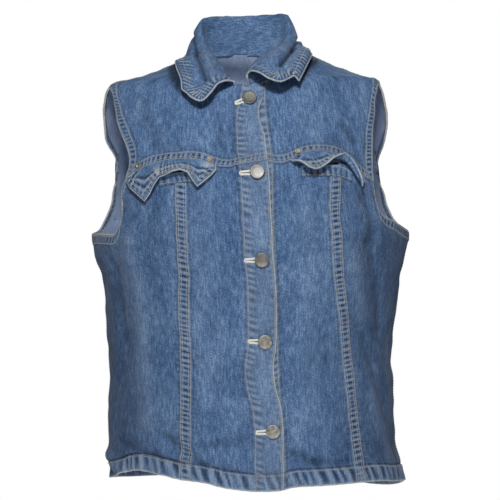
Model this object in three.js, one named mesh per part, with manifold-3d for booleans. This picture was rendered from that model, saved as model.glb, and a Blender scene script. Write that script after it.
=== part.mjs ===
import * as THREE from "three";
import { mergeVertices } from "three/addons/utils/BufferGeometryUtils.js";
import Module from "manifold-3d";

// A sleeveless denim vest with a turned-down collar, buttoned in front and hollow as when worn.
// Millimetres: -Y is the front, +Z is up and -X is the wearer's right.
// The origin lies between the neck points, at the height where the shoulders carry the vest.

// Driving sizes of the cloth and its sewing
const CLOTH = 1.6;
const RAISED = 0.8;
const BAND_STEP = 1.2;
const SEAM_GAP = 0.5;
const HEM_DEPTH = 18;
const ARMHOLE_BAND = 9;
const SEAM_BAND = 10.5;
const RIGHT_FRONT_BAND = 33;
const LEFT_FRONT_BAND = 35;
const OVERLAP_LIFT = 3.6;
const OVERLAP_RAMP = 9;
const RAMP_CLEARANCE = 5;
const PLY_GAP = 0.3;
const COLLAR_CLOTH = 2.2;
const FLAP_CLOTH = 2;
const MOUTH_CLOTH = 1.4;

// Heights where the shoulder and side seams end
const RIGHT_TIP_Z = -34;
const LEFT_TIP_Z = -28;
const RIGHT_NECK_Z = 0;
const LEFT_NECK_Z = 4;
const RIGHT_UNDERARM_Z = -212;
const LEFT_UNDERARM_Z = -209;
const RIGHT_SIDE_HEM_Z = -502;
const LEFT_SIDE_HEM_Z = -505;

// Driving sizes of the collar: how far its leaves swell and stay off the body, and how its standing
// part leans in below the roll and ends just above the neck seam
const LEAF_BULGE = 6;
const LEAF_BULGE_RISE = 0.25;
const LEAF_BULGE_FADE = 0.4;
const LEAF_ROWS = [0.1, 0.26, 0.44, 0.62, 0.79, 0.9, 1];
const LEAF_OVER_NECK = 0.4;
const LEAF_CLEARANCE = 4.4;
const STAND_INSET = 2.4;
const STAND_INSET_SHARE = 0.2;
const STAND_DROP = 4.5;
const STAND_DROP_SHARE = 0.35;
const STAND_HOLLOW = 0.4;
const NECK_CENTRE_Y = 10;
const COLLAR_STEPS = 15;
const COLLAR_SEAM_CLEARANCE = 2.2;

// Driving sizes of the buttons, their holes and the rivets
const BUTTON_RADIUS = 8.5;
const SHANK_RADIUS = 2.3;
const SHANK_FOOT_RADIUS = 4.4;
const EYELET_RADIUS = 3.1;
const SLIT_WIDTH = 1.6;
const RIVET_RADIUS = 3.4;

// Heights over the inner face where the metal sits
const LOWER_PLY_FACE = CLOTH + RAISED;
const UPPER_PLY_FACE = OVERLAP_LIFT + CLOTH + RAISED;

// How many millimetres of cloth one degree of turn is, on average
const MM_PER_DEGREE = 3;
const DEGREE = Math.PI / 180;

// Level sections: how far the cloth lies to the wearer's right and left, where the middle of the
// front is, and how deep the front and the back are from the line between the shoulders
const SECTIONS = namedRows(
  ["z", "right", "left", "middle", "front", "back"],
  [
    [-520, -159, 192, 12, 115, 108],
    [-500, -158, 189, 12, 114, 105],
    [-450, -160, 179, 9, 112, 98],
    [-400, -160, 177, 8, 112, 93],
    [-350, -161, 175, 8, 114, 91],
    [-300, -164, 181, 8, 118, 93],
    [-262, -168, 186, 8, 122, 97],
    [-236, -177, 190, 7, 124, 101],
    [-212, -180, 195, 6, 125, 104],
    [-170, -177, 187, 4, 122, 108],
    [-130, -174, 180, 3, 115, 110],
    [-100, -172, 176, 2, 107, 109],
    [-70, -170, 173, 1, 97, 103],
    [-45, -166, 168, 0, 86, 97],
    [-34, -158, 163, 0, 79, 93],
    [-28, -133, 158, 0, 74, 91],
    [-24, -118, 140, 0, 70, 88],
    [-19, -105, 125, 0, 65, 85],
    [-14, -94, 112, 0, 60, 81],
    [-7, -77, 96, 0, 54, 75],
    [0, -62, 80, 0, 48, 67],
    [5, -57, 70, 0, 44, 63],
    [12, -53, 64, 0, 40, 58],
  ],
);

// Soft folds on the front, as lines with their width and how far they stand out or sink in
const FRONT_FOLDS = namedRows(
  ["x0", "z0", "x1", "z1", "width", "depth"],
  [
    [-31, -58, -18, -114, 4, 1.6],
    [-38, -56, -25, -110, 6, -1.8],
    [-120, -60, -96, -112, 12, -1.8],
    [116, -86, 128, -104, 6, -2.6],
    [106, -102, 118, -120, 6, -2.2],
    [60, -70, 84, -108, 12, 1.5],
    [140, -168, 146, -222, 8, -3],
    [146, -222, 158, -322, 11, -4],
    [136, -322, 164, -418, 10, -3],
    [120, -230, 138, -310, 12, 2.5],
    [150, -400, 172, -480, 14, 3],
    [-134, -216, -112, -428, 16, 3],
    [-150, -250, -140, -330, 10, -3],
    [-132, -330, -150, -440, 11, -2.6],
    [-92, -442, -44, -479, 6, -3],
    [-44, -479, -8, -484, 6, -2],
    [-46, -456, 0, -446, 8, -1.8],
    [58, -463, 84, -475, 6, -2.6],
    [84, -473, 120, -476, 6, -2.2],
    [70, -190, 78, -410, 18, 1.8],
    [-48, -170, -40, -400, 20, 1.6],
    [-104, -170, -112, -250, 12, -1.8],
    [-156, -470, -132, -486, 9, 6],
    [-146, -456, -100, -466, 6, -3.5],
    [-128, -484, -96, -487, 7, 4],
  ],
);

// The same on the back, where the long folds hang from the shoulder blades
const BACK_FOLDS = namedRows(
  ["x0", "z0", "x1", "z1", "width", "depth"],
  [
    [-92, -110, -70, -400, 20, -3.5],
    [-40, -150, -34, -440, 16, 2.5],
    [30, -130, 24, -430, 18, -3],
    [88, -120, 70, -410, 20, -3.8],
    [126, -190, 142, -330, 14, -3.5],
    [-128, -220, -138, -360, 14, -3.5],
    [-60, -60, 60, -62, 12, -2],
    [-120, -430, -60, -470, 12, 3],
    [90, -430, 140, -480, 12, 3],
    [-160, -466, -146, -492, 9, 6],
  ],
);

// Seam lines and edges as x and z of the points they run through, with a name where pieces meet.
// An x past the outline lies on the side seam.
const PAST_OUTLINE = 400;
const YOKE_SEAM = [
  [-136, -146, "right armhole"],
  [-123, -139],
  [-108, -132.5],
  [-94, -129],
  [-80, -127, "right princess"],
  [-54, -127.5],
  [-43, -131],
  [-31, -135],
  [-18, -136],
  [-1, -133.5, "left edge"],
  [26, -129.5, "right edge"],
  [36, -131.5],
  [46, -131],
  [54, -127.5],
  [63, -121.5],
  [77, -117.5],
  [94, -117.5],
  [111, -123, "left princess"],
  [122, -131.5],
  [133, -142],
  [150, -150.5, "left armhole"],
];
const RIGHT_PRINCESS = [
  [-80, -127, "yoke"],
  [-78.5, -165],
  [-76, -227],
  [-75, -282],
  [-73, -332],
  [-72.5, -386],
  [-73, -435],
  [-72.5, -463],
  [-74, -493, "hem"],
];
const LEFT_PRINCESS = [
  [111, -123, "yoke"],
  [111, -155],
  [111, -200],
  [113.5, -250],
  [118, -290],
  [122, -326],
  [127.5, -379],
  [131.5, -421],
  [136, -456],
  [141, -498.5, "hem"],
];
// The free edge of the right front, which laps over the left
const RIGHT_EDGE = [
  [20, -59, "neck"],
  [17, -69],
  [18, -83],
  [23, -101],
  [24, -114],
  [26, -129.5, "yoke"],
  [28, -150],
  [31, -203],
  [32, -229],
  [36, -281],
  [36, -334],
  [33, -363],
  [35, -386],
  [41, -409],
  [44, -439],
  [44, -474],
  [44, -504, "hem"],
];
// The free edge of the left front, hidden behind the right
const LEFT_EDGE = [
  [-4, -38.5, "neck"],
  [-6, -70],
  [-5, -100],
  [-1, -133.5, "yoke"],
  [0, -170],
  [1, -230],
  [5, -330],
  [7, -390],
  [12, -440],
  [13, -505, "hem"],
];
const HEM = [
  [-PAST_OUTLINE, RIGHT_SIDE_HEM_Z, "right side"],
  [-148, -495],
  [-135, -489],
  [-118, -485],
  [-98, -488],
  [-74, -493, "right princess"],
  [-43, -496.5],
  [-22, -501.5],
  [13, -505, "left edge"],
  [44, -504, "right edge"],
  [57, -501],
  [90, -500],
  [141, -498.5, "left princess"],
  [160, -499],
  [175, -501.5],
  [PAST_OUTLINE, LEFT_SIDE_HEM_Z, "left side"],
];
const RIGHT_ARMHOLE = [
  [-PAST_OUTLINE, RIGHT_TIP_Z, "shoulder"],
  [-154, -45],
  [-150, -62],
  [-146, -80],
  [-139, -99],
  [-133, -116],
  [-132.5, -130],
  [-136, -146, "yoke"],
  [-140, -163],
  [-139.5, -185],
  [-142, -201],
  [-149, -211.5],
  [-160, -212],
  [-170, -211.5],
  [-PAST_OUTLINE, RIGHT_UNDERARM_Z, "side"],
];
const LEFT_ARMHOLE = [
  [PAST_OUTLINE, LEFT_TIP_Z, "shoulder"],
  [154, -43],
  [152, -70],
  [150, -95],
  [149.5, -123],
  [150, -150.5, "yoke"],
  [151.5, -167],
  [154.5, -181],
  [161, -190],
  [173, -196],
  [186, -203.5],
  [PAST_OUTLINE, LEFT_UNDERARM_Z, "side"],
];
const RIGHT_NECK = [
  [-PAST_OUTLINE, RIGHT_NECK_Z, "shoulder"],
  [-57, -3],
  [-50, -7],
  [-38, -17],
  [-24, -32],
  [-11, -41, "collar end"],
];
// The top of the right front past the end of the collar
const RIGHT_NECK_CORNER = [
  [-11, -41, "collar end"],
  [-4, -40],
  [5, -40.5],
  [10, -45],
  [20, -59, "neck"],
];
const LEFT_NECK = [
  [-4, -38.5, "neck"],
  [6, -38.5, "collar end"],
  [20, -36],
  [36, -24],
  [50, -9],
  [60, -1.5],
  [67, 2],
  [PAST_OUTLINE, LEFT_NECK_Z, "shoulder"],
];
// The edges of the back as degrees of turn and z. Its own left is at 90 and its right at 270.
const BACK_HEM = [
  [90, LEFT_SIDE_HEM_Z],
  [106, -513],
  [122, -517],
  [150, -513],
  [180, -512],
  [215, -509],
  [235, -507],
  [252, -505],
  [270, RIGHT_SIDE_HEM_Z],
];
const BACK_NECK = [
  [90, LEFT_NECK_Z],
  [125, 6.5],
  [180, 10],
  [232, 5.5],
  [270, RIGHT_NECK_Z],
];
const BACK_LEFT_ARMHOLE = [
  [90, LEFT_UNDERARM_Z],
  [104, -203],
  [113, -182],
  [115, -158],
  [118, -135],
  [114, -118],
  [104, -92],
  [97, -55],
  [90, LEFT_TIP_Z],
];
const BACK_RIGHT_ARMHOLE = [
  [270, RIGHT_UNDERARM_Z],
  [255, -205],
  [247, -182],
  [245, -158],
  [242, -134],
  [245, -118],
  [256, -93],
  [263, -58],
  [270, RIGHT_TIP_Z],
];

// Where each column of a pocket flap hangs: x on the yoke seam, then the belly of its curl and its
// free edge, each with x or z and how far it stands off the front
const RIGHT_FLAP = namedRows(
  ["x", "bellyZ", "bellyOff", "edgeX", "edgeZ", "edgeOff"],
  [
    [-133, -148, 6, -132, -151, 6],
    [-126, -152, 9, -127, -159, 8],
    [-118, -156, 10, -118, -167, 9],
    [-113, -158, 11, -110.5, -174, 9],
    [-107, -154, 11, -105, -165, 9],
    [-101, -148, 11, -100, -156, 9],
    [-94, -143, 12, -94, -147, 9],
    [-86, -141, 13, -86, -145, 11],
    [-77, -139, 13, -77, -141.5, 13],
    [-69, -138, 12, -69, -140, 13],
    [-61, -140, 11, -60.5, -143.5, 12],
    [-56, -142, 9, -56, -152, 10],
    [-51, -144, 8, -51, -158.5, 9],
    [-44, -143, 7, -44, -153, 8],
    [-38, -141, 6, -37, -147, 7],
    [-32, -138, 5, -31, -140, 6],
  ],
);
const LEFT_FLAP = namedRows(
  ["x", "bellyZ", "bellyOff", "edgeX", "edgeZ", "edgeOff"],
  [
    [54, -131, 7, 56, -130, 11],
    [61, -134, 9, 61, -131, 14],
    [66, -137, 11, 66, -134.5, 16],
    [72, -138, 12, 71, -138.5, 17],
    [79, -138, 13, 78, -140.5, 16],
    [85, -136, 13, 84, -138, 15],
    [91, -133, 13, 91, -133, 15],
    [97, -130, 13, 97, -127, 15],
    [104, -129, 12, 104, -123.5, 15],
    [110, -131, 10, 111, -121, 13],
    [115, -135, 9, 117, -125, 12],
    [120, -141, 9, 122, -133, 13],
    [124, -147, 9, 126, -142, 14],
    [128, -152, 8, 129, -151, 14],
    [132, -153, 8, 131.5, -157.5, 11],
    [136, -150, 6, 136, -149.5, 7],
  ],
);

// Pocket mouths: the turned upper edge of each pocket, with z and stand-off at its top and foot
const RIGHT_MOUTH = namedRows(
  ["x", "topZ", "topOff", "footZ", "footOff"],
  [
    [-97, -144, 3.4, -156, 3],
    [-86, -143.5, 3.2, -154.5, 3],
    [-75, -142.5, 3.2, -153.5, 3],
    [-64, -141.5, 3.2, -152.5, 3],
    [-53, -141, 3.4, -152, 3],
  ],
);
const LEFT_MOUTH = namedRows(
  ["x", "topZ", "topOff", "footZ", "footOff"],
  [
    [64, -134.5, 3.2, -146, 3],
    [76, -134, 3.2, -145.5, 3],
    [88, -133.5, 3.4, -145, 3],
    [97, -134, 5, -145.5, 3],
    [106, -135.5, 6.5, -146.5, 3],
    [115, -138, 5.5, -148.5, 3],
    [123, -142, 3.4, -151, 3],
  ],
);

// Stations of the collar from its front end to the middle of the back, for each leaf:
// the roll, where it turns over, and the free outer edge
const RIGHT_LEAF = namedRows(
  ["rollX", "rollY", "rollZ", "edgeX", "edgeY", "edgeZ"],
  [
    [-11, -91, -36, -71.5, -92, -45],
    [-20, -75, -27, -73, -79, -33],
    [-29, -50, -12, -79, -52, -17],
    [-36, -26, 0, -81, -26, -8],
    [-46, 0, 16, -79, 2, -3],
    [-53, 25, 38, -72, 35, -2],
    [-50, 44, 52, -57, 61, -4],
    [-29, 61, 57, -30, 78, -7],
    [0, 68, 58, 0, 85, -8],
  ],
);
const LEFT_LEAF = namedRows(
  ["rollX", "rollY", "rollZ", "edgeX", "edgeY", "edgeZ"],
  [
    [4, -91, -27, 63.5, -93, -34.5],
    [9, -75, -17, 70, -76, -21],
    [19, -50, -5, 76, -54, -8],
    [34, -25, 6, 80, -28, 1],
    [47, 0, 20, 79, 0, 6],
    [53, 25, 42, 73, 34, 3],
    [52, 44, 57, 60, 60, 0],
    [31, 62, 59, 30, 78, -5],
    [0, 68, 58, 0, 85, -8],
  ],
);
// The wavy front edge of each leaf, from the end of the roll to the corner
const RIGHT_LEAF_FRONT = [
  [-11, -91, -36],
  [-19, -96, -34.5],
  [-27, -100, -37],
  [-34, -104, -43],
  [-39, -106, -51],
  [-45, -107, -57.5],
  [-52, -106, -58.5],
  [-60, -102, -54.5],
  [-67, -96, -48],
  [-71.5, -92, -45],
];
const LEFT_LEAF_FRONT = [
  [4, -91, -27],
  [10.5, -99, -23],
  [21, -105, -28],
  [33, -108, -35],
  [44.5, -106, -36.5],
  [52, -100, -32.5],
  [57.5, -96, -29],
  [63.5, -93, -34.5],
];

// Buttons, each with the far end of its hole, and the rivets at the ends of the pocket flaps
const BUTTONS = namedRows(
  ["x", "z", "holeX", "holeZ"],
  [
    [6.5, -57, -8, -62.5],
    [15, -142.5, -2.5, -144],
    [20.5, -241, 3, -241.5],
    [24, -334.5, 7, -334],
    [33, -437.5, 15.5, -438.5],
  ],
);
const RIVETS = namedRows(
  ["x", "z"],
  [
    [-38, -127],
    [-121, -133],
    [61, -117.5],
    [127, -131.5],
  ],
);

// Colours: washed indigo denim, turned edges worn paler, nickel buttons and brass rivets
const DENIM = new THREE.MeshStandardMaterial({ color: 0x47689a, roughness: 0.92, metalness: 0 });
const WORN_DENIM = new THREE.MeshStandardMaterial({ color: 0x6884ab, roughness: 0.9, metalness: 0 });
const NICKEL = new THREE.MeshStandardMaterial({ color: 0xb9b6ac, roughness: 0.38, metalness: 1 });
const BRASS = new THREE.MeshStandardMaterial({ color: 0xb59f6b, roughness: 0.42, metalness: 1 });

function namedRows(names, rows) {
  return rows.map((row) => Object.fromEntries(names.map((name, index) => [name, row[index]])));
}

function mix(from, to, share) {
  return from + (to - from) * share;
}

function smoothStep(value) {
  const held = Math.min(Math.max(value, 0), 1);
  return held * held * (3 - 2 * held);
}

// A curve through rows sorted by one column that never swings past its points
function smoothColumn(rows, along, name) {
  const at = rows.map((row) => row[along]);
  const value = rows.map((row) => row[name]);
  const slope = at.slice(1).map((next, k) => (value[k + 1] - value[k]) / (next - at[k]));
  const lean = at.map((_, k) => {
    if (k === 0 || k === at.length - 1) return slope[Math.min(k, slope.length - 1)];
    if (slope[k - 1] * slope[k] <= 0) return 0;
    return (2 * slope[k - 1] * slope[k]) / (slope[k - 1] + slope[k]);
  });
  return (place) => {
    const held = Math.min(Math.max(place, at[0]), at[at.length - 1]);
    let k = 0;
    while (k < at.length - 2 && held > at[k + 1]) k += 1;
    const span = at[k + 1] - at[k];
    const t = (held - at[k]) / span;
    const bend = t * t * (3 - 2 * t);
    const rise = t * (1 - t) * (1 - t) * span * lean[k] - t * t * (1 - t) * span * lean[k + 1];
    return mix(value[k], value[k + 1], bend) + rise;
  };
}

const section = {
  right: smoothColumn(SECTIONS, "z", "right"),
  left: smoothColumn(SECTIONS, "z", "left"),
  middle: smoothColumn(SECTIONS, "z", "middle"),
  front: smoothColumn(SECTIONS, "z", "front"),
  back: smoothColumn(SECTIONS, "z", "back"),
};

// The inner face of the cloth. Turn is 0 in the middle of the front, 90 at the wearer's left side,
// 180 in the middle of the back and -90 or 270 at the right side.
function bareBody(turn, z) {
  const across = Math.sin(turn * DEGREE);
  const along = Math.cos(turn * DEGREE);
  const middle = section.middle(z);
  const reach = across < 0 ? middle - section.right(z) : section.left(z) - middle;
  const depth = along > 0 ? section.front(z) : section.back(z);
  return new THREE.Vector3(middle + reach * across, -depth * along, z);
}

function outward(turn, z) {
  const step = 0.2;
  const across = bareBody(turn + step, z).sub(bareBody(turn - step, z));
  const up = bareBody(turn, z + step).sub(bareBody(turn, z - step));
  return across.cross(up).normalize();
}

function frontTurn(x, z) {
  const middle = section.middle(z);
  const reach = x < middle ? middle - section.right(z) : section.left(z) - middle;
  return Math.asin(Math.min(Math.max((x - middle) / reach, -1), 1)) / DEGREE;
}

function backTurn(x, z) {
  return 180 - frontTurn(x, z);
}

function foldLines(rows, turnOf) {
  return rows.map((row) => ({
    start: new THREE.Vector2(turnOf(row.x0, row.z0) * MM_PER_DEGREE, row.z0),
    end: new THREE.Vector2(turnOf(row.x1, row.z1) * MM_PER_DEGREE, row.z1),
    width: row.width,
    depth: row.depth,
  }));
}

const folds = [...foldLines(FRONT_FOLDS, frontTurn), ...foldLines(BACK_FOLDS, backTurn)];

// How far the folds move the cloth out at one place
function foldRelief(turn, z) {
  let relief = 0;
  const spot = new THREE.Vector2();
  for (const fold of folds) {
    const run = fold.end.clone().sub(fold.start);
    for (const lap of [-360, 0, 360]) {
      spot.set((turn + lap) * MM_PER_DEGREE, z).sub(fold.start);
      const share = Math.min(Math.max(spot.dot(run) / run.lengthSq(), 0), 1);
      const away = spot.addScaledVector(run, -share).length() / fold.width;
      relief += fold.depth * Math.exp(-away * away);
    }
  }
  return relief;
}

function cloth(turn, z, off) {
  return bareBody(turn, z).addScaledVector(outward(turn, z), foldRelief(turn, z) + off);
}

function clothAt(x, z, off) {
  return cloth(frontTurn(x, z), z, off);
}

// A stretch of a seam line between two named points, as a function of the share of its length
function stretch(points, from, to) {
  const curve = new THREE.CatmullRomCurve3(
    points.map(([turn, z]) => new THREE.Vector3(turn * MM_PER_DEGREE, 0, z)),
    false,
    "centripetal",
  );
  const steps = 120;
  const last = points.length - 1;
  const spots = [];
  for (let k = 0; k <= steps; k += 1) spots.push(curve.getPoint(mix(from, to, k / steps) / last));
  const places = spots.map((spot) => bareBody(spot.x / MM_PER_DEGREE, spot.z));
  const runs = [0];
  for (let k = 1; k <= steps; k += 1) runs.push(runs[k - 1] + places[k].distanceTo(places[k - 1]));
  return (share) => {
    const run = Math.min(Math.max(share, 0), 1) * runs[steps];
    let k = 1;
    while (k < steps && runs[k] < run) k += 1;
    const part = (run - runs[k - 1]) / (runs[k] - runs[k - 1]);
    const spot = spots[k - 1].clone().lerp(spots[k], part);
    return { turn: spot.x / MM_PER_DEGREE, z: spot.z };
  };
}

function frontSeam(rows, from, to) {
  const index = (mark) => rows.findIndex((row) => row[2] === mark);
  const points = rows.map(([x, z]) => [frontTurn(x, z), z]);
  return stretch(points, index(from), index(to));
}

function backSeam(rows, from = 0, to = rows.length - 1) {
  return stretch(rows, from, to);
}

function upright(turn, fromZ, toZ) {
  const points = [
    [turn, fromZ],
    [turn, toZ],
  ];
  return stretch(points, 0, 1);
}

// Two edges end to end, the first up to the given share of the way
function chain(first, second, corner) {
  return (share) => (share < corner ? first(share / corner) : second((share - corner) / (1 - corner)));
}

// A smooth filling between four edges: bottom and top run with the turn, start and end run up
function patch({ bottom, top, start, end }) {
  const corners = [bottom(0), bottom(1), top(0), top(1)];
  const fill = (u, v, name) =>
    mix(bottom(u)[name], top(u)[name], v) +
    mix(start(v)[name], end(v)[name], u) -
    mix(mix(corners[0][name], corners[1][name], u), mix(corners[2][name], corners[3][name], u), v);
  return (u, v) => ({ turn: fill(u, v, "turn"), z: fill(u, v, "z") });
}

const NO_BAND = { width: 0, cells: 0 };

// Grid lines across a piece: the edge, the foot of its raised band and an even middle part
function gridLines({ start = NO_BAND, middle, end = NO_BAND }) {
  const edge = SEAM_GAP / 2;
  const lines = [{ share: 0, mm: edge, band: start.width > 0 ? "start" : "" }];
  for (let k = 1; k <= start.cells; k += 1) {
    lines.push({ share: 0, mm: mix(edge, start.width, k / start.cells), band: "start" });
  }
  if (start.width > 0) lines.push({ share: 0, mm: start.width + BAND_STEP, band: "" });
  for (const [from, to, count] of middle) {
    for (let k = 0; k < count; k += 1) {
      lines.push({ share: mix(from, to, count > 1 ? k / (count - 1) : 0), mm: 0, band: "" });
    }
  }
  if (end.width > 0) lines.push({ share: 1, mm: -end.width - BAND_STEP, band: "" });
  for (let k = end.cells; k >= 1; k -= 1) {
    lines.push({ share: 1, mm: -mix(edge, end.width, k / end.cells), band: "end" });
  }
  lines.push({ share: 1, mm: -edge, band: end.width > 0 ? "end" : "" });
  return lines;
}

function bandOf(width, cells = 1) {
  return { width, cells };
}

function pathLength(pointAt) {
  const steps = 14;
  let length = 0;
  for (let k = 1; k <= steps; k += 1) length += pointAt(k / steps).distanceTo(pointAt((k - 1) / steps));
  return length;
}

// A closed wall between an outer and an inner grid of points, rows upwards, columns with the turn
function wallGeometry(outer, inner) {
  const rows = outer.length;
  const columns = outer[0].length;
  const places = [];
  const faces = [];
  for (const grid of [outer, inner]) {
    for (const row of grid) for (const point of row) places.push(point.x, point.y, point.z);
  }
  const outerAt = (row, column) => row * columns + column;
  const innerAt = (row, column) => rows * columns + row * columns + column;
  for (let row = 0; row < rows - 1; row += 1) {
    for (let column = 0; column < columns - 1; column += 1) {
      const [a, b] = [outerAt(row, column), outerAt(row, column + 1)];
      const [d, c] = [outerAt(row + 1, column), outerAt(row + 1, column + 1)];
      faces.push(a, b, c, a, c, d);
      const [e, f] = [innerAt(row, column), innerAt(row, column + 1)];
      const [h, g] = [innerAt(row + 1, column), innerAt(row + 1, column + 1)];
      faces.push(e, g, f, e, h, g);
    }
  }
  const rim = [];
  for (let column = 0; column < columns - 1; column += 1) rim.push([0, column]);
  for (let row = 0; row < rows - 1; row += 1) rim.push([row, columns - 1]);
  for (let column = columns - 1; column > 0; column -= 1) rim.push([rows - 1, column]);
  for (let row = rows - 1; row > 0; row -= 1) rim.push([row, 0]);
  rim.forEach(([row, column], k) => {
    const [nextRow, nextColumn] = rim[(k + 1) % rim.length];
    const [p, q] = [outerAt(row, column), outerAt(nextRow, nextColumn)];
    const [r, s] = [innerAt(row, column), innerAt(nextRow, nextColumn)];
    faces.push(q, p, r, q, r, s);
  });
  const geometry = new THREE.BufferGeometry();
  geometry.setAttribute("position", new THREE.Float32BufferAttribute(places, 3));
  geometry.setIndex(faces);
  geometry.computeVertexNormals();
  return geometry;
}

// A panel on the body: edges, grid lines, where it is raised and how far it stands off
function panelGeometry({ edges, columns, rows, raised, off = () => 0 }) {
  const place = patch(edges);
  const pointAt = (u, v) => {
    const spot = place(u, v);
    return cloth(spot.turn, spot.z, 0);
  };
  const widths = rows.map((row) => pathLength((t) => pointAt(t, row.share)));
  const heights = columns.map((column) => pathLength((t) => pointAt(column.share, t)));
  const outer = [];
  const inner = [];
  rows.forEach((row, j) => {
    outer.push([]);
    inner.push([]);
    columns.forEach((column, i) => {
      const spot = place(column.share + column.mm / widths[j], row.share + row.mm / heights[i]);
      const lift = off(spot);
      const height = CLOTH + (raised(column, row) ? RAISED : 0);
      inner[j].push(cloth(spot.turn, spot.z, lift));
      outer[j].push(cloth(spot.turn, spot.z, lift + height));
    });
  });
  return wallGeometry(outer, inner);
}

// A wall laid evenly on both sides of a grid of points, for pieces that curl off the body
function curledGeometry(grid, thickness) {
  const offset = (side) =>
    grid.map((row, j) =>
      row.map((point, i) => {
        const across = row[Math.min(i + 1, row.length - 1)].clone().sub(row[Math.max(i - 1, 0)]);
        const up = grid[Math.min(j + 1, grid.length - 1)][i].clone().sub(grid[Math.max(j - 1, 0)][i]);
        const normal = across.cross(up).normalize();
        return point.clone().addScaledVector(normal, (side * thickness) / 2);
      }),
    );
  return wallGeometry(offset(1), offset(-1));
}

// The right front is lifted over the left one from a little way before the turned edge
function overlapOff(spot) {
  const body = bareBody(spot.turn, spot.z);
  const rampEnd = hiddenEdgeX(spot.z) - RAMP_CLEARANCE;
  return OVERLAP_LIFT * smoothStep((body.x - (rampEnd - OVERLAP_RAMP)) / OVERLAP_RAMP);
}

const hiddenEdgeX = smoothColumn(
  namedRows(["x", "z"], LEFT_EDGE.map(([x, z]) => [x, z])).reverse(),
  "z",
  "x",
);

function yokeRight() {
  const shoulder = 0.42;
  const neck = 0.68;
  return panelGeometry({
    edges: {
      bottom: frontSeam(YOKE_SEAM, "right armhole", "right edge"),
      top: chain(
        chain(
          upright(-90, RIGHT_TIP_Z, RIGHT_NECK_Z),
          frontSeam(RIGHT_NECK, "shoulder", "collar end"),
          shoulder / neck,
        ),
        frontSeam(RIGHT_NECK_CORNER, "collar end", "neck"),
        neck,
      ),
      start: frontSeam(RIGHT_ARMHOLE, "yoke", "shoulder"),
      end: frontSeam(RIGHT_EDGE, "yoke", "neck"),
    },
    columns: gridLines({
      start: bandOf(ARMHOLE_BAND),
      middle: [
        [0.14, shoulder, 5],
        [0.49, 0.56, 2],
        [0.61, neck, 4],
      ],
      end: bandOf(RIGHT_FRONT_BAND, 3),
    }),
    rows: gridLines({ start: bandOf(SEAM_BAND), middle: [[0.2, 0.84, 7]], end: bandOf(ARMHOLE_BAND) }),
    raised: (column, row) =>
      column.band !== "" || row.band === "start" || (row.band === "end" && column.share < shoulder),
    off: overlapOff,
  });
}

function yokeLeft() {
  const neck = 0.52;
  return panelGeometry({
    edges: {
      bottom: frontSeam(YOKE_SEAM, "left edge", "left armhole"),
      top: chain(
        frontSeam(LEFT_NECK, "neck", "shoulder"),
        upright(90, LEFT_NECK_Z, LEFT_TIP_Z),
        neck,
      ),
      start: frontSeam(LEFT_EDGE, "yoke", "neck"),
      end: frontSeam(LEFT_ARMHOLE, "yoke", "shoulder"),
    },
    columns: gridLines({
      start: bandOf(LEFT_FRONT_BAND, 3),
      middle: [
        [0.34, neck, 4],
        [0.58, 0.9, 6],
      ],
      end: bandOf(ARMHOLE_BAND),
    }),
    rows: gridLines({ start: bandOf(SEAM_BAND), middle: [[0.2, 0.84, 7]], end: bandOf(ARMHOLE_BAND) }),
    raised: (column, row) =>
      column.band !== "" || row.band === "start" || (row.band === "end" && column.share > neck),
  });
}

function centreFrontRight() {
  return panelGeometry({
    edges: {
      bottom: frontSeam(HEM, "right princess", "right edge"),
      top: frontSeam(YOKE_SEAM, "right princess", "right edge"),
      start: frontSeam(RIGHT_PRINCESS, "hem", "yoke"),
      end: frontSeam(RIGHT_EDGE, "hem", "yoke"),
    },
    columns: gridLines({
      start: bandOf(SEAM_BAND),
      middle: [[0.2, 0.6, 4]],
      end: bandOf(RIGHT_FRONT_BAND, 3),
    }),
    rows: gridLines({ start: bandOf(HEM_DEPTH), middle: [[0.09, 0.975, 24]] }),
    raised: (column, row) => column.band !== "" || row.band === "start",
    off: overlapOff,
  });
}

function centreFrontLeft() {
  return panelGeometry({
    edges: {
      bottom: frontSeam(HEM, "left edge", "left princess"),
      top: frontSeam(YOKE_SEAM, "left edge", "left princess"),
      start: frontSeam(LEFT_EDGE, "hem", "yoke"),
      end: frontSeam(LEFT_PRINCESS, "hem", "yoke"),
    },
    columns: gridLines({
      start: bandOf(LEFT_FRONT_BAND, 3),
      middle: [[0.4, 0.84, 6]],
      end: bandOf(SEAM_BAND),
    }),
    rows: gridLines({ start: bandOf(HEM_DEPTH), middle: [[0.09, 0.975, 24]] }),
    raised: (column, row) => column.band !== "" || row.band === "start",
  });
}

function sideFrontRight() {
  const corner = 0.62;
  return panelGeometry({
    edges: {
      bottom: frontSeam(HEM, "right side", "right princess"),
      top: chain(
        frontSeam(RIGHT_ARMHOLE, "side", "yoke"),
        frontSeam(YOKE_SEAM, "right armhole", "right princess"),
        corner,
      ),
      start: upright(-90, RIGHT_SIDE_HEM_Z, RIGHT_UNDERARM_Z),
      end: frontSeam(RIGHT_PRINCESS, "hem", "yoke"),
    },
    columns: gridLines({
      middle: [
        [0.1, corner, 7],
        [0.7, 0.94, 4],
      ],
    }),
    rows: gridLines({ start: bandOf(HEM_DEPTH), middle: [[0.1, 0.93, 18]], end: bandOf(ARMHOLE_BAND) }),
    raised: (column, row) => row.band === "start" || (row.band === "end" && column.share < corner),
  });
}

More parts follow.
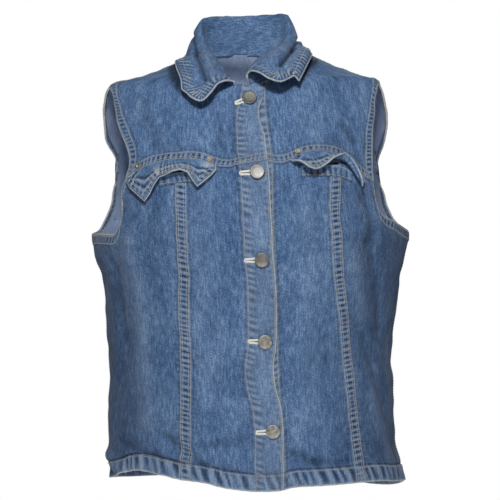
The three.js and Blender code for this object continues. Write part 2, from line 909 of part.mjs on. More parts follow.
function sideFrontLeft() {
  const corner = 0.36;
  return panelGeometry({
    edges: {
      bottom: frontSeam(HEM, "left princess", "left side"),
      top: chain(
        frontSeam(YOKE_SEAM, "left princess", "left armhole"),
        frontSeam(LEFT_ARMHOLE, "yoke", "side"),
        corner,
      ),
      start: frontSeam(LEFT_PRINCESS, "hem", "yoke"),
      end: upright(90, LEFT_SIDE_HEM_Z, LEFT_UNDERARM_Z),
    },
    columns: gridLines({
      middle: [
        [0.07, corner, 5],
        [0.45, 0.92, 6],
      ],
    }),
    rows: gridLines({ start: bandOf(HEM_DEPTH), middle: [[0.1, 0.93, 18]], end: bandOf(ARMHOLE_BAND) }),
    raised: (column, row) => row.band === "start" || (row.band === "end" && column.share > corner),
  });
}

function backPanel() {
  const shoulder = 0.3;
  return panelGeometry({
    edges: {
      bottom: backSeam(BACK_HEM),
      top: chain(
        upright(90, LEFT_TIP_Z, LEFT_NECK_Z),
        chain(
          backSeam(BACK_NECK),
          upright(270, RIGHT_NECK_Z, RIGHT_TIP_Z),
          (1 - 2 * shoulder) / (1 - shoulder),
        ),
        shoulder,
      ),
      start: chain(upright(90, LEFT_SIDE_HEM_Z, LEFT_UNDERARM_Z), backSeam(BACK_LEFT_ARMHOLE), 0.58),
      end: chain(upright(270, RIGHT_SIDE_HEM_Z, RIGHT_UNDERARM_Z), backSeam(BACK_RIGHT_ARMHOLE), 0.58),
    },
    columns: gridLines({
      start: bandOf(ARMHOLE_BAND),
      middle: [[0.1, 0.9, 17]],
      end: bandOf(ARMHOLE_BAND),
    }),
    rows: gridLines({
      start: bandOf(HEM_DEPTH),
      middle: [
        [0.08, 0.58, 12],
        [0.63, 0.97, 9],
      ],
    }),
    raised: (column, row) => row.band === "start" || (column.band !== "" && row.share > 0.6),
  });
}

// How far a point lies off the body, and the direction away from it
function overBody(point) {
  const ratio = (x, y, z) => {
    const middle = section.middle(z);
    const reach = x < middle ? middle - section.right(z) : section.left(z) - middle;
    const depth = y < 0 ? section.front(z) : section.back(z);
    return Math.hypot((x - middle) / reach, y / depth);
  };
  const { x, y, z } = point;
  const step = 0.1;
  const away = new THREE.Vector3(
    ratio(x + step, y, z) - ratio(x - step, y, z),
    ratio(x, y + step, z) - ratio(x, y - step, z),
    ratio(x, y, z + step) - ratio(x, y, z - step),
  ).divideScalar(2 * step);
  const height = (ratio(x, y, z) - 1) / away.length();
  return { height, away: away.normalize() };
}

// One leaf of the collar at a share of the way round and down from the roll to the free edge
function leafSurface(stations, front) {
  const asCurve = (points) => new THREE.CatmullRomCurve3(points, false, "centripetal");
  const roll = asCurve(stations.map((row) => new THREE.Vector3(row.rollX, row.rollY, row.rollZ)));
  const edge = asCurve(stations.map((row) => new THREE.Vector3(row.edgeX, row.edgeY, row.edgeZ)));
  const frontEdge = asCurve(front.map(([x, y, z]) => new THREE.Vector3(x, y, z)));
  const backRoll = roll.getPoint(1);
  const backEdge = edge.getPoint(1);
  const surface = (u, v) => {
    const point = roll.getPoint(u).multiplyScalar(1 - v).addScaledVector(edge.getPoint(u), v);
    const side = frontEdge.getPointAt(v).multiplyScalar(1 - u);
    side.add(backRoll.clone().lerp(backEdge, v).multiplyScalar(u));
    const corners = roll.getPoint(0).lerp(edge.getPoint(0), v).multiplyScalar(1 - u);
    corners.add(backRoll.clone().lerp(backEdge, v).multiplyScalar(u));
    point.add(side).sub(corners);
    const down = edge.getPoint(u).sub(roll.getPoint(u)).normalize();
    const along = roll.getTangent(u);
    const off = along.cross(down).normalize();
    if (off.z < 0) off.negate();
    const swell = 4 * v * (1 - v) * (1 - v * LEAF_BULGE_FADE);
    point.addScaledVector(off, LEAF_BULGE * Math.min(u / LEAF_BULGE_RISE, 1) * swell);
    if (v > LEAF_OVER_NECK) {
      const { height, away } = overBody(point);
      point.addScaledVector(away, Math.max(LEAF_CLEARANCE - height, 0));
    }
    return point;
  };
  return { roll, surface };
}

// The neck seam from the front end of one leaf to the middle of the back
function neckSeam(frontRows, backShares) {
  const front = frontSeam(frontRows, "collar end", "shoulder");
  const back = backSeam(BACK_NECK);
  return chain(front, (share) => back(mix(backShares[0], backShares[1], share)), 0.5);
}

function leafGrid(stations, front, seamAt, seatOff) {
  const { roll, surface } = leafSurface(stations, front);
  const grid = [];
  for (let k = 0; k <= COLLAR_STEPS; k += 1) {
    const u = k / COLLAR_STEPS;
    const top = roll.getPoint(u);
    const spot = seamAt(u);
    const seat = cloth(spot.turn, spot.z, CLOTH / 2 + seatOff(spot));
    const inwards = top.clone().sub(seat).normalize();
    const foot = seat.clone().addScaledVector(inwards, COLLAR_SEAM_CLEARANCE);
    const neckward = new THREE.Vector3(-top.x, NECK_CENTRE_Y - top.y, 0).normalize();
    const rise = Math.max(top.z - foot.z, 0);
    const drop = Math.min(STAND_DROP, STAND_DROP_SHARE * rise);
    const inset = Math.min(STAND_INSET, STAND_INSET_SHARE * top.distanceTo(foot));
    const shoulderOfStand = top.clone().addScaledVector(neckward, inset);
    shoulderOfStand.z -= drop;
    const half = foot.clone().lerp(shoulderOfStand, 0.5).addScaledVector(neckward, inset * STAND_HOLLOW);
    const column = [foot, half, shoulderOfStand, top];
    for (const v of LEAF_ROWS) column.push(surface(u, v));
    grid.push(column);
  }
  return grid;
}

function collar() {
  const rightSeam = neckSeam(RIGHT_NECK, [1, 0.5]);
  const leftSeam = neckSeam(LEFT_NECK, [0, 0.5]);
  const right = leafGrid(RIGHT_LEAF, RIGHT_LEAF_FRONT, rightSeam, overlapOff);
  const left = leafGrid(LEFT_LEAF, LEFT_LEAF_FRONT, leftSeam, () => 0);
  const columns = right.concat(left.slice(0, -1).reverse());
  const rows = columns[0].map((_, j) => columns.map((column) => column[j]));
  return curledGeometry(rows, COLLAR_CLOTH);
}

const yokeSeamZ = smoothColumn(
  namedRows(["x", "z"], YOKE_SEAM.map(([x, z]) => [x, z])),
  "x",
  "z",
);

// A pocket flap sewn in under the yoke and curled away from the front
function flapGeometry(stations) {
  const shares = [0, 0.2, 0.42, 0.66, 0.84, 1];
  const seamOff = CLOTH + RAISED + PLY_GAP + FLAP_CLOTH / 2;
  const grid = shares.map((v) =>
    stations.map((row) => {
      const seamZ = yokeSeamZ(row.x) - SEAM_GAP;
      const weights = [(1 - v) * (1 - v), 2 * v * (1 - v), v * v];
      const bellyX = mix(row.x, row.edgeX, 0.5);
      const x = weights[0] * row.x + weights[1] * bellyX + weights[2] * row.edgeX;
      const z = weights[0] * seamZ + weights[1] * row.bellyZ + weights[2] * row.edgeZ;
      const off = weights[0] * seamOff + weights[1] * row.bellyOff + weights[2] * row.edgeOff;
      return clothAt(x, z, off);
    }),
  );
  return curledGeometry(grid.reverse(), FLAP_CLOTH);
}

// The turned edge of a pocket's mouth, laid on the front
function mouthGeometry(stations) {
  const shares = [0, 0.5, 1];
  const layer = (height) =>
    shares.map((v) =>
      stations.map((row) =>
        clothAt(row.x, mix(row.footZ, row.topZ, v), mix(row.footOff, row.topOff, v * v) + height),
      ),
    );
  return wallGeometry(layer(MOUTH_CLOTH), layer(0));
}

// Turned metal pieces have their own axis along +Y, laid along the cloth's outward direction
function turnedMesh(name, profile, segments, material, x, z) {
  const points = profile.map(([radius, height]) => new THREE.Vector2(radius, height));
  const geometry = new THREE.LatheGeometry(points, segments);
  const mesh = new THREE.Mesh(geometry, material);
  mesh.name = name;
  mesh.position.copy(clothAt(x, z, 0));
  mesh.quaternion.setFromUnitVectors(new THREE.Vector3(0, 1, 0), outward(frontTurn(x, z), z));
  return mesh;
}

// A tack button: foot between the plies, shank through the eyelet, dished cap with a rolled rim
function buttonProfile() {
  const foot = LOWER_PLY_FACE + PLY_GAP;
  const footTop = foot + 0.3;
  const capBack = UPPER_PLY_FACE + 0.6;
  return [
    [0, foot],
    [SHANK_FOOT_RADIUS, foot],
    [SHANK_FOOT_RADIUS, footTop],
    [SHANK_RADIUS, footTop],
    [SHANK_RADIUS, capBack],
    [BUTTON_RADIUS - 0.8, capBack],
    [BUTTON_RADIUS, capBack + 0.7],
    [BUTTON_RADIUS, capBack + 1.7],
    [BUTTON_RADIUS - 0.7, capBack + 2.4],
    [BUTTON_RADIUS - 1.7, capBack + 2.3],
    [BUTTON_RADIUS - 2.6, capBack + 2],
    [0, capBack + 2.5],
  ];
}

function rivetProfile() {
  const seat = CLOTH + RAISED + PLY_GAP + 0.1;
  return [
    [0, seat],
    [RIVET_RADIUS, seat],
    [RIVET_RADIUS, seat + 0.6],
    [RIVET_RADIUS - 0.9, seat + 1.2],
    [RIVET_RADIUS - 1.7, seat + 0.8],
    [0, seat + 1.5],
  ];
}

// The cutter for one buttonhole: an eyelet round the shank and a slit away from it
function keyhole(button) {
  const centre = clothAt(button.x, button.z, 0);
  const far = clothAt(button.holeX, button.holeZ, 0);
  const length = centre.distanceTo(far);
  const outline = new THREE.Shape();
  const half = SLIT_WIDTH / 2;
  const meet = Math.asin(half / EYELET_RADIUS);
  outline.moveTo(length, -half);
  outline.lineTo(length, half);
  outline.lineTo(EYELET_RADIUS * Math.cos(meet), half);
  outline.absarc(0, 0, EYELET_RADIUS, meet, 2 * Math.PI - meet, false);
  outline.closePath();
  const depth = 16;
  const geometry = new THREE.ExtrudeGeometry(outline, { depth, bevelEnabled: false, curveSegments: 10 });
  geometry.translate(0, 0, -depth / 3);
  const up = outward(frontTurn(button.x, button.z), button.z);
  const along = far.sub(centre);
  along.addScaledVector(up, -along.dot(up)).normalize();
  const across = up.clone().cross(along);
  geometry.applyMatrix4(new THREE.Matrix4().makeBasis(along, across, up).setPosition(centre));
  return geometry;
}

const wasm = await Module();
wasm.setup();

function solidOf(source) {
  const geometry = source.clone();
  geometry.deleteAttribute("normal");
  geometry.deleteAttribute("uv");
  const merged = mergeVertices(geometry, 1e-4);
  return new wasm.Manifold(
    new wasm.Mesh({
      numProp: 3,
      vertProperties: new Float32Array(merged.attributes.position.array),
      triVerts: new Uint32Array(merged.index.array),
    }),
  );
}

function withButtonholes(geometry, buttons) {
  let solid = solidOf(geometry);
  for (const button of buttons) solid = solid.subtract(solidOf(keyhole(button)));
  const mesh = solid.getMesh();
  const cut = new THREE.BufferGeometry();
  cut.setAttribute("position", new THREE.Float32BufferAttribute(mesh.vertProperties, 3));
  cut.setIndex(Array.from(mesh.triVerts));
  cut.computeVertexNormals();
  return cut;
}

const vest = new THREE.Group();

function add(name, geometry, material) {
  const mesh = new THREE.Mesh(geometry, material);
  mesh.name = name;
  vest.add(mesh);
}

const yokeButtons = BUTTONS.slice(0, 1);
const frontButtons = BUTTONS.slice(1);
add("yoke_right", withButtonholes(yokeRight(), yokeButtons), DENIM);
add("yoke_left", yokeLeft(), DENIM);
add("centre_front_right", withButtonholes(centreFrontRight(), frontButtons), DENIM);
add("centre_front_left", centreFrontLeft(), DENIM);
add("side_front_right", sideFrontRight(), DENIM);
add("side_front_left", sideFrontLeft(), DENIM);
add("back", backPanel(), DENIM);
add("collar", collar(), WORN_DENIM);
add("flap_right", flapGeometry(RIGHT_FLAP), WORN_DENIM);
add("flap_left", flapGeometry(LEFT_FLAP), WORN_DENIM);
add("pocket_mouth_right", mouthGeometry(RIGHT_MOUTH), WORN_DENIM);
add("pocket_mouth_left", mouthGeometry(LEFT_MOUTH), WORN_DENIM);
BUTTONS.forEach((button, k) => {
  vest.add(turnedMesh(`button_${k + 1}`, buttonProfile(), 16, NICKEL, button.x, button.z));
});
RIVETS.forEach((rivet, k) => {
  vest.add(turnedMesh(`rivet_${k + 1}`, rivetProfile(), 10, BRASS, rivet.x, rivet.z));
});

export default vest;
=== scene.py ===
"""A washed denim vest with a turned-down collar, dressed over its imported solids.

Lengths are millimetres until a mesh is made. -Y is the front, +Z is up and -X is the wearer's
right. Turn goes round the body: 0 in the middle of the front, 90 at the wearer's left side and
180 in the middle of the back.
"""

import bpy
import numpy as np
from mathutils import Matrix, Vector


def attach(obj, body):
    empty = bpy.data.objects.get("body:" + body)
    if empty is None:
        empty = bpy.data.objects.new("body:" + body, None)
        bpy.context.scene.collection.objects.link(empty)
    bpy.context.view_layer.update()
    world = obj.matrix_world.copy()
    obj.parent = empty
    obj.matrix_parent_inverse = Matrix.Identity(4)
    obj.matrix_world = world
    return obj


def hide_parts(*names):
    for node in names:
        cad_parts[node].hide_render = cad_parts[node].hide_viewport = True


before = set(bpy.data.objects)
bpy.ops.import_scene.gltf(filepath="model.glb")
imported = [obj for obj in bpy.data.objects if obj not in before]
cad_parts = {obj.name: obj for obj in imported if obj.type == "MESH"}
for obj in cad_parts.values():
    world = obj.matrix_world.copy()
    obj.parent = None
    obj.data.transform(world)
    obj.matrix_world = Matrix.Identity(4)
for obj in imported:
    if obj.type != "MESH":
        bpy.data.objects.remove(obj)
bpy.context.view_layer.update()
bpy.ops.object.select_all(action="DESELECT")

# From millimetres to metres
MM = 0.001

# Cloth and its sewing
CLOTH = 1.6
COLLAR_CLOTH = 2.0
FLAP_CLOTH = 2.0
MOUTH_CLOTH = 1.4
RAISED = 0.8
TWIN_GAP = 2.6
OVERLAP_LIFT = 3.6
OVERLAP_RAMP = 9
RAMP_CLEARANCE = 5
# Folds and the weave are laid out as if the body were this far round at every height
MM_PER_DEGREE = 3

# How strongly wear, dye, painted shade and painted highlights show, from 0 to 1
PUCKER_PALE = 0.6
CURL_PALE = 0.85
VALLEY_SHADE = 0.65
RIDGE_HIGHLIGHT = 0.12
SIDE_SHADE = 0.5

# Mesh cells of the front and of the plain back, and the grid that measures a panel
FRONT_CELL = 1.52
BACK_CELL = 3.4
COARSE = 41

# Thread
STITCH_PITCH = 3.3
STITCH_LENGTH = 2.7
THREAD = 0.42

# Heights where the shoulder and side seams end
RIGHT_TIP_Z = -34
LEFT_TIP_Z = -28
RIGHT_NECK_Z = 0
LEFT_NECK_Z = 4
RIGHT_UNDERARM_Z = -212
LEFT_UNDERARM_Z = -209
RIGHT_SIDE_HEM_Z = -502
LEFT_SIDE_HEM_Z = -505

# Level sections of the body: z, right, left, middle, front, back
SECTIONS = np.array([
    (-520, -159, 192, 12, 115, 108),
    (-500, -158, 189, 12, 114, 105),
    (-450, -160, 179, 9, 112, 98),
    (-400, -160, 177, 8, 112, 93),
    (-350, -161, 175, 8, 114, 91),
    (-300, -164, 181, 8, 118, 93),
    (-262, -168, 186, 8, 122, 97),
    (-236, -177, 190, 7, 124, 101),
    (-212, -180, 195, 6, 125, 104),
    (-170, -177, 187, 4, 122, 108),
    (-130, -174, 180, 3, 115, 110),
    (-100, -172, 176, 2, 107, 109),
    (-70, -170, 173, 1, 97, 103),
    (-45, -166, 168, 0, 86, 97),
    (-34, -158, 163, 0, 79, 93),
    (-28, -133, 158, 0, 74, 91),
    (-24, -118, 140, 0, 70, 88),
    (-19, -105, 125, 0, 65, 85),
    (-14, -94, 112, 0, 60, 81),
    (-7, -77, 96, 0, 54, 75),
    (0, -62, 80, 0, 48, 67),
    (5, -57, 70, 0, 44, 63),
    (12, -53, 64, 0, 40, 58),
], float)

# Soft folds: x and z of both ends, width, and how far they stand out or sink in
FRONT_FOLDS = [
    (-31, -58, -18, -114, 4, 1.6),
    (-38, -56, -25, -110, 6, -1.8),
    (-120, -60, -96, -112, 12, -1.8),
    (116, -86, 128, -104, 6, -2.6),
    (106, -102, 118, -120, 6, -2.2),
    (60, -70, 84, -108, 12, 1.5),
    (140, -168, 146, -222, 8, -3),
    (146, -222, 158, -322, 11, -4),
    (136, -322, 164, -418, 10, -3),
    (120, -230, 138, -310, 12, 2.5),
    (150, -400, 172, -480, 14, 3),
    (-134, -216, -112, -428, 16, 3),
    (-150, -250, -140, -330, 10, -3),
    (-132, -330, -150, -440, 11, -2.6),
    (-92, -442, -44, -479, 6, -3),
    (-44, -479, -8, -484, 6, -2),
    (-46, -456, 0, -446, 8, -1.8),
    (58, -463, 84, -475, 6, -2.6),
    (84, -473, 120, -476, 6, -2.2),
    (70, -190, 78, -410, 18, 1.8),
    (-48, -170, -40, -400, 20, 1.6),
    (-104, -170, -112, -250, 12, -1.8),
    (-156, -477, -138, -488, 9, 7),
    (-146, -456, -100, -466, 6, -3.5),
    (-128, -484, -96, -487, 7, 4),
]
BACK_FOLDS = [
    (-92, -110, -70, -400, 20, -3.5),
    (-40, -150, -34, -440, 16, 2.5),
    (30, -130, 24, -430, 18, -3),
    (88, -120, 70, -410, 20, -3.8),
    (126, -190, 142, -330, 14, -3.5),
    (-128, -220, -138, -360, 14, -3.5),
    (-60, -60, 60, -62, 12, -2),
    (-120, -430, -60, -470, 12, 3),
    (90, -430, 140, -480, 12, 3),
    (-160, -475, -150, -491, 9, 7),
]

# Seam lines and edges as x and z, with a name where pieces meet
PAST_OUTLINE = 400
YOKE_SEAM = [
    (-136, -146, "right armhole"),
    (-123, -139),
    (-108, -132.5),
    (-94, -129),
    (-80, -127, "right princess"),
    (-54, -127.5),
    (-43, -131),
    (-31, -135),
    (-18, -136),
    (-1, -133.5, "left edge"),
    (26, -129.5, "right edge"),
    (36, -131.5),
    (46, -131),
    (54, -127.5),
    (63, -121.5),
    (77, -117.5),
    (94, -117.5),
    (111, -123, "left princess"),
    (122, -131.5),
    (133, -142),
    (150, -150.5, "left armhole"),
]
RIGHT_PRINCESS = [
    (-80, -127, "yoke"),
    (-78.5, -165),
    (-76, -227),
    (-75, -282),
    (-73, -332),
    (-72.5, -386),
    (-73, -435),
    (-72.5, -463),
    (-74, -493, "hem"),
]
LEFT_PRINCESS = [
    (111, -123, "yoke"),
    (111, -155),
    (111, -200),
    (113.5, -250),
    (118, -290),
    (122, -326),
    (127.5, -379),
    (131.5, -421),
    (136, -456),
    (141, -498.5, "hem"),
]
RIGHT_EDGE = [
    (20, -59, "neck"),
    (17, -69),
    (18, -83),
    (23, -101),
    (24, -114),
    (26, -129.5, "yoke"),
    (28, -150),
    (31, -203),
    (32, -229),
    (36, -281),
    (36, -334),
    (33, -363),
    (35, -386),
    (41, -409),
    (44, -439),
    (44, -474),
    (44, -504, "hem"),
]
LEFT_EDGE = [
    (-4, -38.5, "neck"),
    (-6, -70),
    (-5, -100),
    (-1, -133.5, "yoke"),
    (0, -170),
    (1, -230),
    (5, -330),
    (7, -390),
    (12, -440),
    (13, -505, "hem"),
]
HEM = [
    (-PAST_OUTLINE, RIGHT_SIDE_HEM_Z, "right side"),
    (-148, -495),
    (-135, -489),
    (-118, -485),
    (-98, -488),
    (-74, -493, "right princess"),
    (-43, -496.5),
    (-22, -501.5),
    (13, -505, "left edge"),
    (44, -504, "right edge"),
    (57, -501),
    (90, -500),
    (141, -498.5, "left princess"),
    (160, -499),
    (175, -501.5),
    (PAST_OUTLINE, LEFT_SIDE_HEM_Z, "left side"),
]
RIGHT_ARMHOLE = [
    (-PAST_OUTLINE, RIGHT_TIP_Z, "shoulder"),
    (-154, -45),
    (-150, -62),
    (-146, -80),
    (-139, -99),
    (-133, -116),
    (-132.5, -130),
    (-136, -146, "yoke"),
    (-140, -163),
    (-139.5, -185),
    (-142, -201),
    (-149, -211.5),
    (-160, -212),
    (-170, -211.5),
    (-PAST_OUTLINE, RIGHT_UNDERARM_Z, "side"),
]
LEFT_ARMHOLE = [
    (PAST_OUTLINE, LEFT_TIP_Z, "shoulder"),
    (154, -43),
    (152, -70),
    (150, -95),
    (149.5, -123),
    (150, -150.5, "yoke"),
    (151.5, -167),
    (154.5, -181),
    (161, -190),
    (173, -196),
    (186, -203.5),
    (PAST_OUTLINE, LEFT_UNDERARM_Z, "side"),
]
RIGHT_NECK = [
    (-PAST_OUTLINE, RIGHT_NECK_Z, "shoulder"),
    (-57, -3),
    (-50, -7),
    (-38, -17),
    (-24, -32),
    (-11, -41, "collar end"),
]
RIGHT_NECK_CORNER = [
    (-11, -41, "collar end"),
    (-4, -40),
    (5, -40.5),
    (10, -45),
    (20, -59, "neck"),
]
LEFT_NECK = [
    (-4, -38.5, "neck"),
    (6, -38.5, "collar end"),
    (20, -36),
    (36, -24),
    (50, -9),
    (60, -1.5),
    (67, 2),
    (PAST_OUTLINE, LEFT_NECK_Z, "shoulder"),
]
# The edges of the back as degrees of turn and z
BACK_HEM = [
    (90, LEFT_SIDE_HEM_Z),
    (106, -513),
    (122, -517),
    (150, -513),
    (180, -512),
    (215, -509),
    (235, -507),
    (252, -505),
    (270, RIGHT_SIDE_HEM_Z),
]
BACK_NECK = [(90, LEFT_NECK_Z), (125, 6.5), (180, 10), (232, 5.5), (270, RIGHT_NECK_Z)]
BACK_LEFT_ARMHOLE = [
    (90, LEFT_UNDERARM_Z),
    (104, -203),
    (113, -182),
    (115, -158),
    (118, -135),
    (114, -118),
    (104, -92),
    (97, -55),
    (90, LEFT_TIP_Z),
]
BACK_RIGHT_ARMHOLE = [
    (270, RIGHT_UNDERARM_Z),
    (255, -205),
    (247, -182),
    (245, -158),
    (242, -134),
    (245, -118),
    (256, -93),
    (263, -58),
    (270, RIGHT_TIP_Z),
]

# Flap columns: x on the yoke seam, belly z and stand-off, then x, z and stand-off of the free edge
RIGHT_FLAP = np.array([
    (-133, -148, 6, -132, -151, 6),
    (-126, -152, 9, -127, -159, 8),
    (-118, -156, 10, -118, -167, 9),
    (-113, -158, 11, -110.5, -174, 9),
    (-107, -154, 11, -105, -165, 9),
    (-101, -148, 11, -100, -156, 9),
    (-94, -143, 12, -94, -147, 9),
    (-86, -141, 13, -86, -145, 11),
    (-77, -139, 13, -77, -141.5, 13),
    (-69, -138, 12, -69, -140, 13),
    (-61, -140, 11, -60.5, -143.5, 12),
    (-56, -142, 9, -56, -152, 10),
    (-51, -144, 8, -51, -158.5, 9),
    (-44, -143, 7, -44, -153, 8),
    (-38, -141, 6, -37, -147, 7),
    (-32, -138, 5, -31, -140, 6),
], float)
LEFT_FLAP = np.array([
    (54, -131, 7, 56, -130, 11),
    (61, -134, 9, 61, -131, 14),
    (66, -137, 11, 66, -134.5, 16),
    (72, -138, 12, 71, -138.5, 17),
    (79, -138, 13, 78, -140.5, 16),
    (85, -136, 13, 84, -138, 15),
    (91, -133, 13, 91, -133, 15),
    (97, -130, 13, 97, -127, 15),
    (104, -129, 12, 104, -123.5, 15),
    (110, -131, 10, 111, -121, 13),
    (115, -135, 9, 117, -125, 12),
    (120, -141, 9, 122, -133, 13),
    (124, -147, 9, 126, -142, 14),
    (128, -152, 8, 129, -151, 14),
    (132, -153, 8, 131.5, -157.5, 11),
    (136, -150, 6, 136, -149.5, 7),
], float)

# Pocket mouths: their depth, the pitch and height of their puckers, then their columns as x, z and
# stand-off of the top, z and stand-off of the foot
MOUTH_DEPTH = 12
MOUTH_PITCH = 6.5
MOUTH_PUCKER = 0.35
RIGHT_MOUTH = np.array([
    (-97, -144, 3.4, -156, 3),
    (-86, -143.5, 3.2, -154.5, 3),
    (-75, -142.5, 3.2, -153.5, 3),
    (-64, -141.5, 3.2, -152.5, 3),
    (-53, -141, 3.4, -152, 3),
], float)
LEFT_MOUTH = np.array([
    (64, -134.5, 3.2, -146, 3),
    (76, -134, 3.2, -145.5, 3),
    (88, -133.5, 3.4, -145, 3),
    (97, -134, 5, -145.5, 3),
    (106, -135.5, 6.5, -146.5, 3),
    (115, -138, 5.5, -148.5, 3),
    (123, -142, 3.4, -151, 3),
], float)

# Collar stations from a leaf's front end to the middle of the back: the roll, then the free edge
RIGHT_LEAF = np.array([
    (-11, -91, -36, -71.5, -92, -45),
    (-20, -75, -27, -73, -79, -33),
    (-29, -50, -12, -79, -52, -17),
    (-36, -26, 0, -81, -26, -8),
    (-46, 0, 16, -79, 2, -3),
    (-53, 25, 38, -72, 35, -2),
    (-50, 44, 52, -57, 61, -4),
    (-29, 61, 57, -30, 78, -7),
    (0, 68, 58, 0, 85, -8),
], float)
LEFT_LEAF = np.array([
    (4, -91, -27, 63.5, -93, -34.5),
    (9, -75, -17, 70, -76, -21),
    (19, -50, -5, 76, -54, -8),
    (34, -25, 6, 80, -28, 1),
    (47, 0, 20, 79, 0, 6),
    (53, 25, 42, 73, 34, 3),
    (52, 44, 57, 60, 60, 0),
    (31, 62, 59, 30, 78, -5),
    (0, 68, 58, 0, 85, -8),
], float)
RIGHT_LEAF_FRONT = np.array([
    (-11, -91, -36),
    (-19, -96, -34.5),
    (-27, -100, -37),
    (-34, -104, -43),
    (-39, -106, -51),
    (-45, -107, -57.5),
    (-52, -106, -58.5),
    (-60, -102, -54.5),
    (-67, -96, -48),
    (-71.5, -92, -45),
], float)
LEFT_LEAF_FRONT = np.array([
    (4, -91, -27),
    (10.5, -99, -23),
    (21, -105, -28),
    (33, -108, -35),
    (44.5, -106, -36.5),
    (52, -100, -32.5),
    (57.5, -96, -29),
    (63.5, -93, -34.5),
], float)
# Soft creases across the leaves: x and z of both ends as seen from the front, width and depth
LEAF_CREASES = [
    (-62, 30, -57, 4, 3.5, -3),
    (-57, 4, -45, -33, 4, -3.2),
    (66, 24, 58, 8, 3, -5),
    (58, 8, 43, -15, 3.2, -5.5),
    (-47, 0, -36, -28, 6, 2),
    (69, 8, 50, -18, 4, 2.5),
    (46, 8, 30, -10, 6, 1.5),
]
# The swell of the leaves, the rows they are laid out in, and how far they keep off the body
LEAF_BULGE = 6
LEAF_BULGE_RISE = 0.25
LEAF_BULGE_FADE = 0.4
LEAF_ROWS = (0.1, 0.26, 0.44, 0.62, 0.79, 0.9, 1)
LEAF_OVER_NECK = 0.4
LEAF_CLEARANCE = 4.4
# The standing part of the collar, hidden inside the roll, and how its foot is sewn in
STAND_INSET = 2.4
STAND_INSET_SHARE = 0.2
STAND_DROP = 4.5
STAND_DROP_SHARE = 0.35
STAND_HOLLOW = 0.4
NECK_CENTRE_Y = 10
COLLAR_TUCK = 1.4
FOOT_ROLL = 0.9
# Puckers lie further apart where an edge runs from front to back
PUCKER_RUN = np.array([1, 0.4, 1])
# How far from the collar's free edge the cloth below it gets the painted shadow of the collar
SHADED_NEAR, SHADED_FAR = 9, 15
COLLAR_COLUMNS = 216
COLLAR_ROWS = 72
# Rows of the collar near its free edge, by their distance from it
EDGE_ROWS = np.array([0, 0.7, 1.4, 2.2, 3.2, 4.6, 6.2, 7.9, 9.6, 11.4])

# Buttons: x and z, then x and z of the far end of the hole. Rivets: x and z.
BUTTONS = [
    (6.5, -57, -8, -62.5),
    (15, -142.5, -2.5, -144),
    (20.5, -241, 3, -241.5),
    (24, -334.5, 7, -334),
    (33, -437.5, 15.5, -438.5),
]
RIVETS = [(-38, -127), (-121, -133), (61, -117.5), (127, -131.5)]
# Turned outlines as height over the cloth's inner face and radius
BUTTON_OUTLINE = [
    (2.7, 4.4),
    (3.2, 4.4),
    (3.5, 3.6),
    (3.7, 2.3),
    (6.6, 2.3),
    (6.5, 7.6),
    (6.7, 8.3),
    (7.3, 8.5),
    (8.3, 8.4),
    (8.9, 7.9),
    (9.0, 7.3),
    (8.8, 6.5),
    (8.6, 5.2),
    (8.5, 2.6),
    (8.48, 0.5),
]
RIVET_OUTLINE = [
    (2.2, 3.4),
    (3.3, 3.4),
    (3.9, 3.1),
    (4.1, 2.6),
    (3.9, 2.0),
    (3.3, 1.5),
    (3.1, 1.1),
    (3.3, 0.7),
    (3.35, 0.2),
]
TURNED_SIDES = 40
EYELET_RADIUS = 3.0
CUTTER_DEPTH = 0.03
SLIT_WIDTH = 0.7
LIP_WIDTH = 2.6
EYELET_LIP = 2
LIP_OPENING = 1.2
SATIN_PITCH = 0.6
SATIN_THREAD = 0.55

# Each sewn band: its width, the pitch and height of its puckers, how far they lean, how much they
# show in the wear, how far they run on past the band, and its stitch lines, as distances near from
# the band's edge and far back from its inner side. A plain side lies under its neighbour's band.
SEAM_LOOK = dict(pitch=6.0, height=0.5, lean=0.15, show=0.95, tail=5.0)
FRONT_LOOK = dict(pitch=8.2, height=0.7, lean=-0.3, show=1.0, tail=5.0)
BANDS = {
    "plain": dict(SEAM_LOOK, width=0, near=(), far=()),
    "yoke": dict(SEAM_LOOK, width=10.5, near=(1.5, 1.5 + TWIN_GAP), far=(1.2,)),
    "princess": dict(SEAM_LOOK, width=14.5, near=(1.5, 1.5 + TWIN_GAP), far=(1.2 + TWIN_GAP, 1.2)),
    "hem": dict(pitch=13.0, height=1.1, lean=0.35, show=0.9, tail=3.0, width=18, near=(), far=(1.2,)),
    "armhole": dict(
        pitch=5.2, height=0.5, lean=0.5, show=0.95, tail=4.0, width=11.5, near=(1.8,), far=(1.0,)
    ),
    "front": dict(FRONT_LOOK, width=33, near=(2.0,), far=(1.5,)),
    "hidden front": dict(FRONT_LOOK, width=35, near=(), far=(1.5,)),
    "shoulder": dict(
        pitch=6.0, height=0.3, lean=0.1, show=0.7, tail=4.0, width=9, near=(1.8,), far=(1.0,)
    ),
}
FREE_KINDS = ("hem", "armhole", "front", "hidden front")
BAND_SEED = 1.9
# Painted shade towards the sides: degrees from the middle where it starts and its spread, then z
SIDE_SHADE_TURN, SIDE_SHADE_SPREAD = 18, 50
SIDE_SHADE_Z, SIDE_SHADE_DROP = -105, 70
# The hem's flare at the wearer's right: where it starts in x and y, and over how far it grows
FLARE_X, FLARE_X_SPREAD = -52, 22
FLARE_Y, FLARE_Y_SPREAD = -20, 20
# Panels that reach above this height lie under the collar and get its painted shadow
UNDER_COLLAR_Z = -60

# How each curled piece is sewn: the width and height of the cord-like edge, the pitch and height of
# its puckers, and how far from the edge its stitching lies
CURLS = {
    "collar": dict(edge=0.8, bead=0.2, pitch=4.8, height=0.75, reach=9.4),
    "flap": dict(edge=0.6, bead=0.1, pitch=5.4, height=0.4, reach=6.6),
}
FLAP_EDGE_STITCH = 1.9
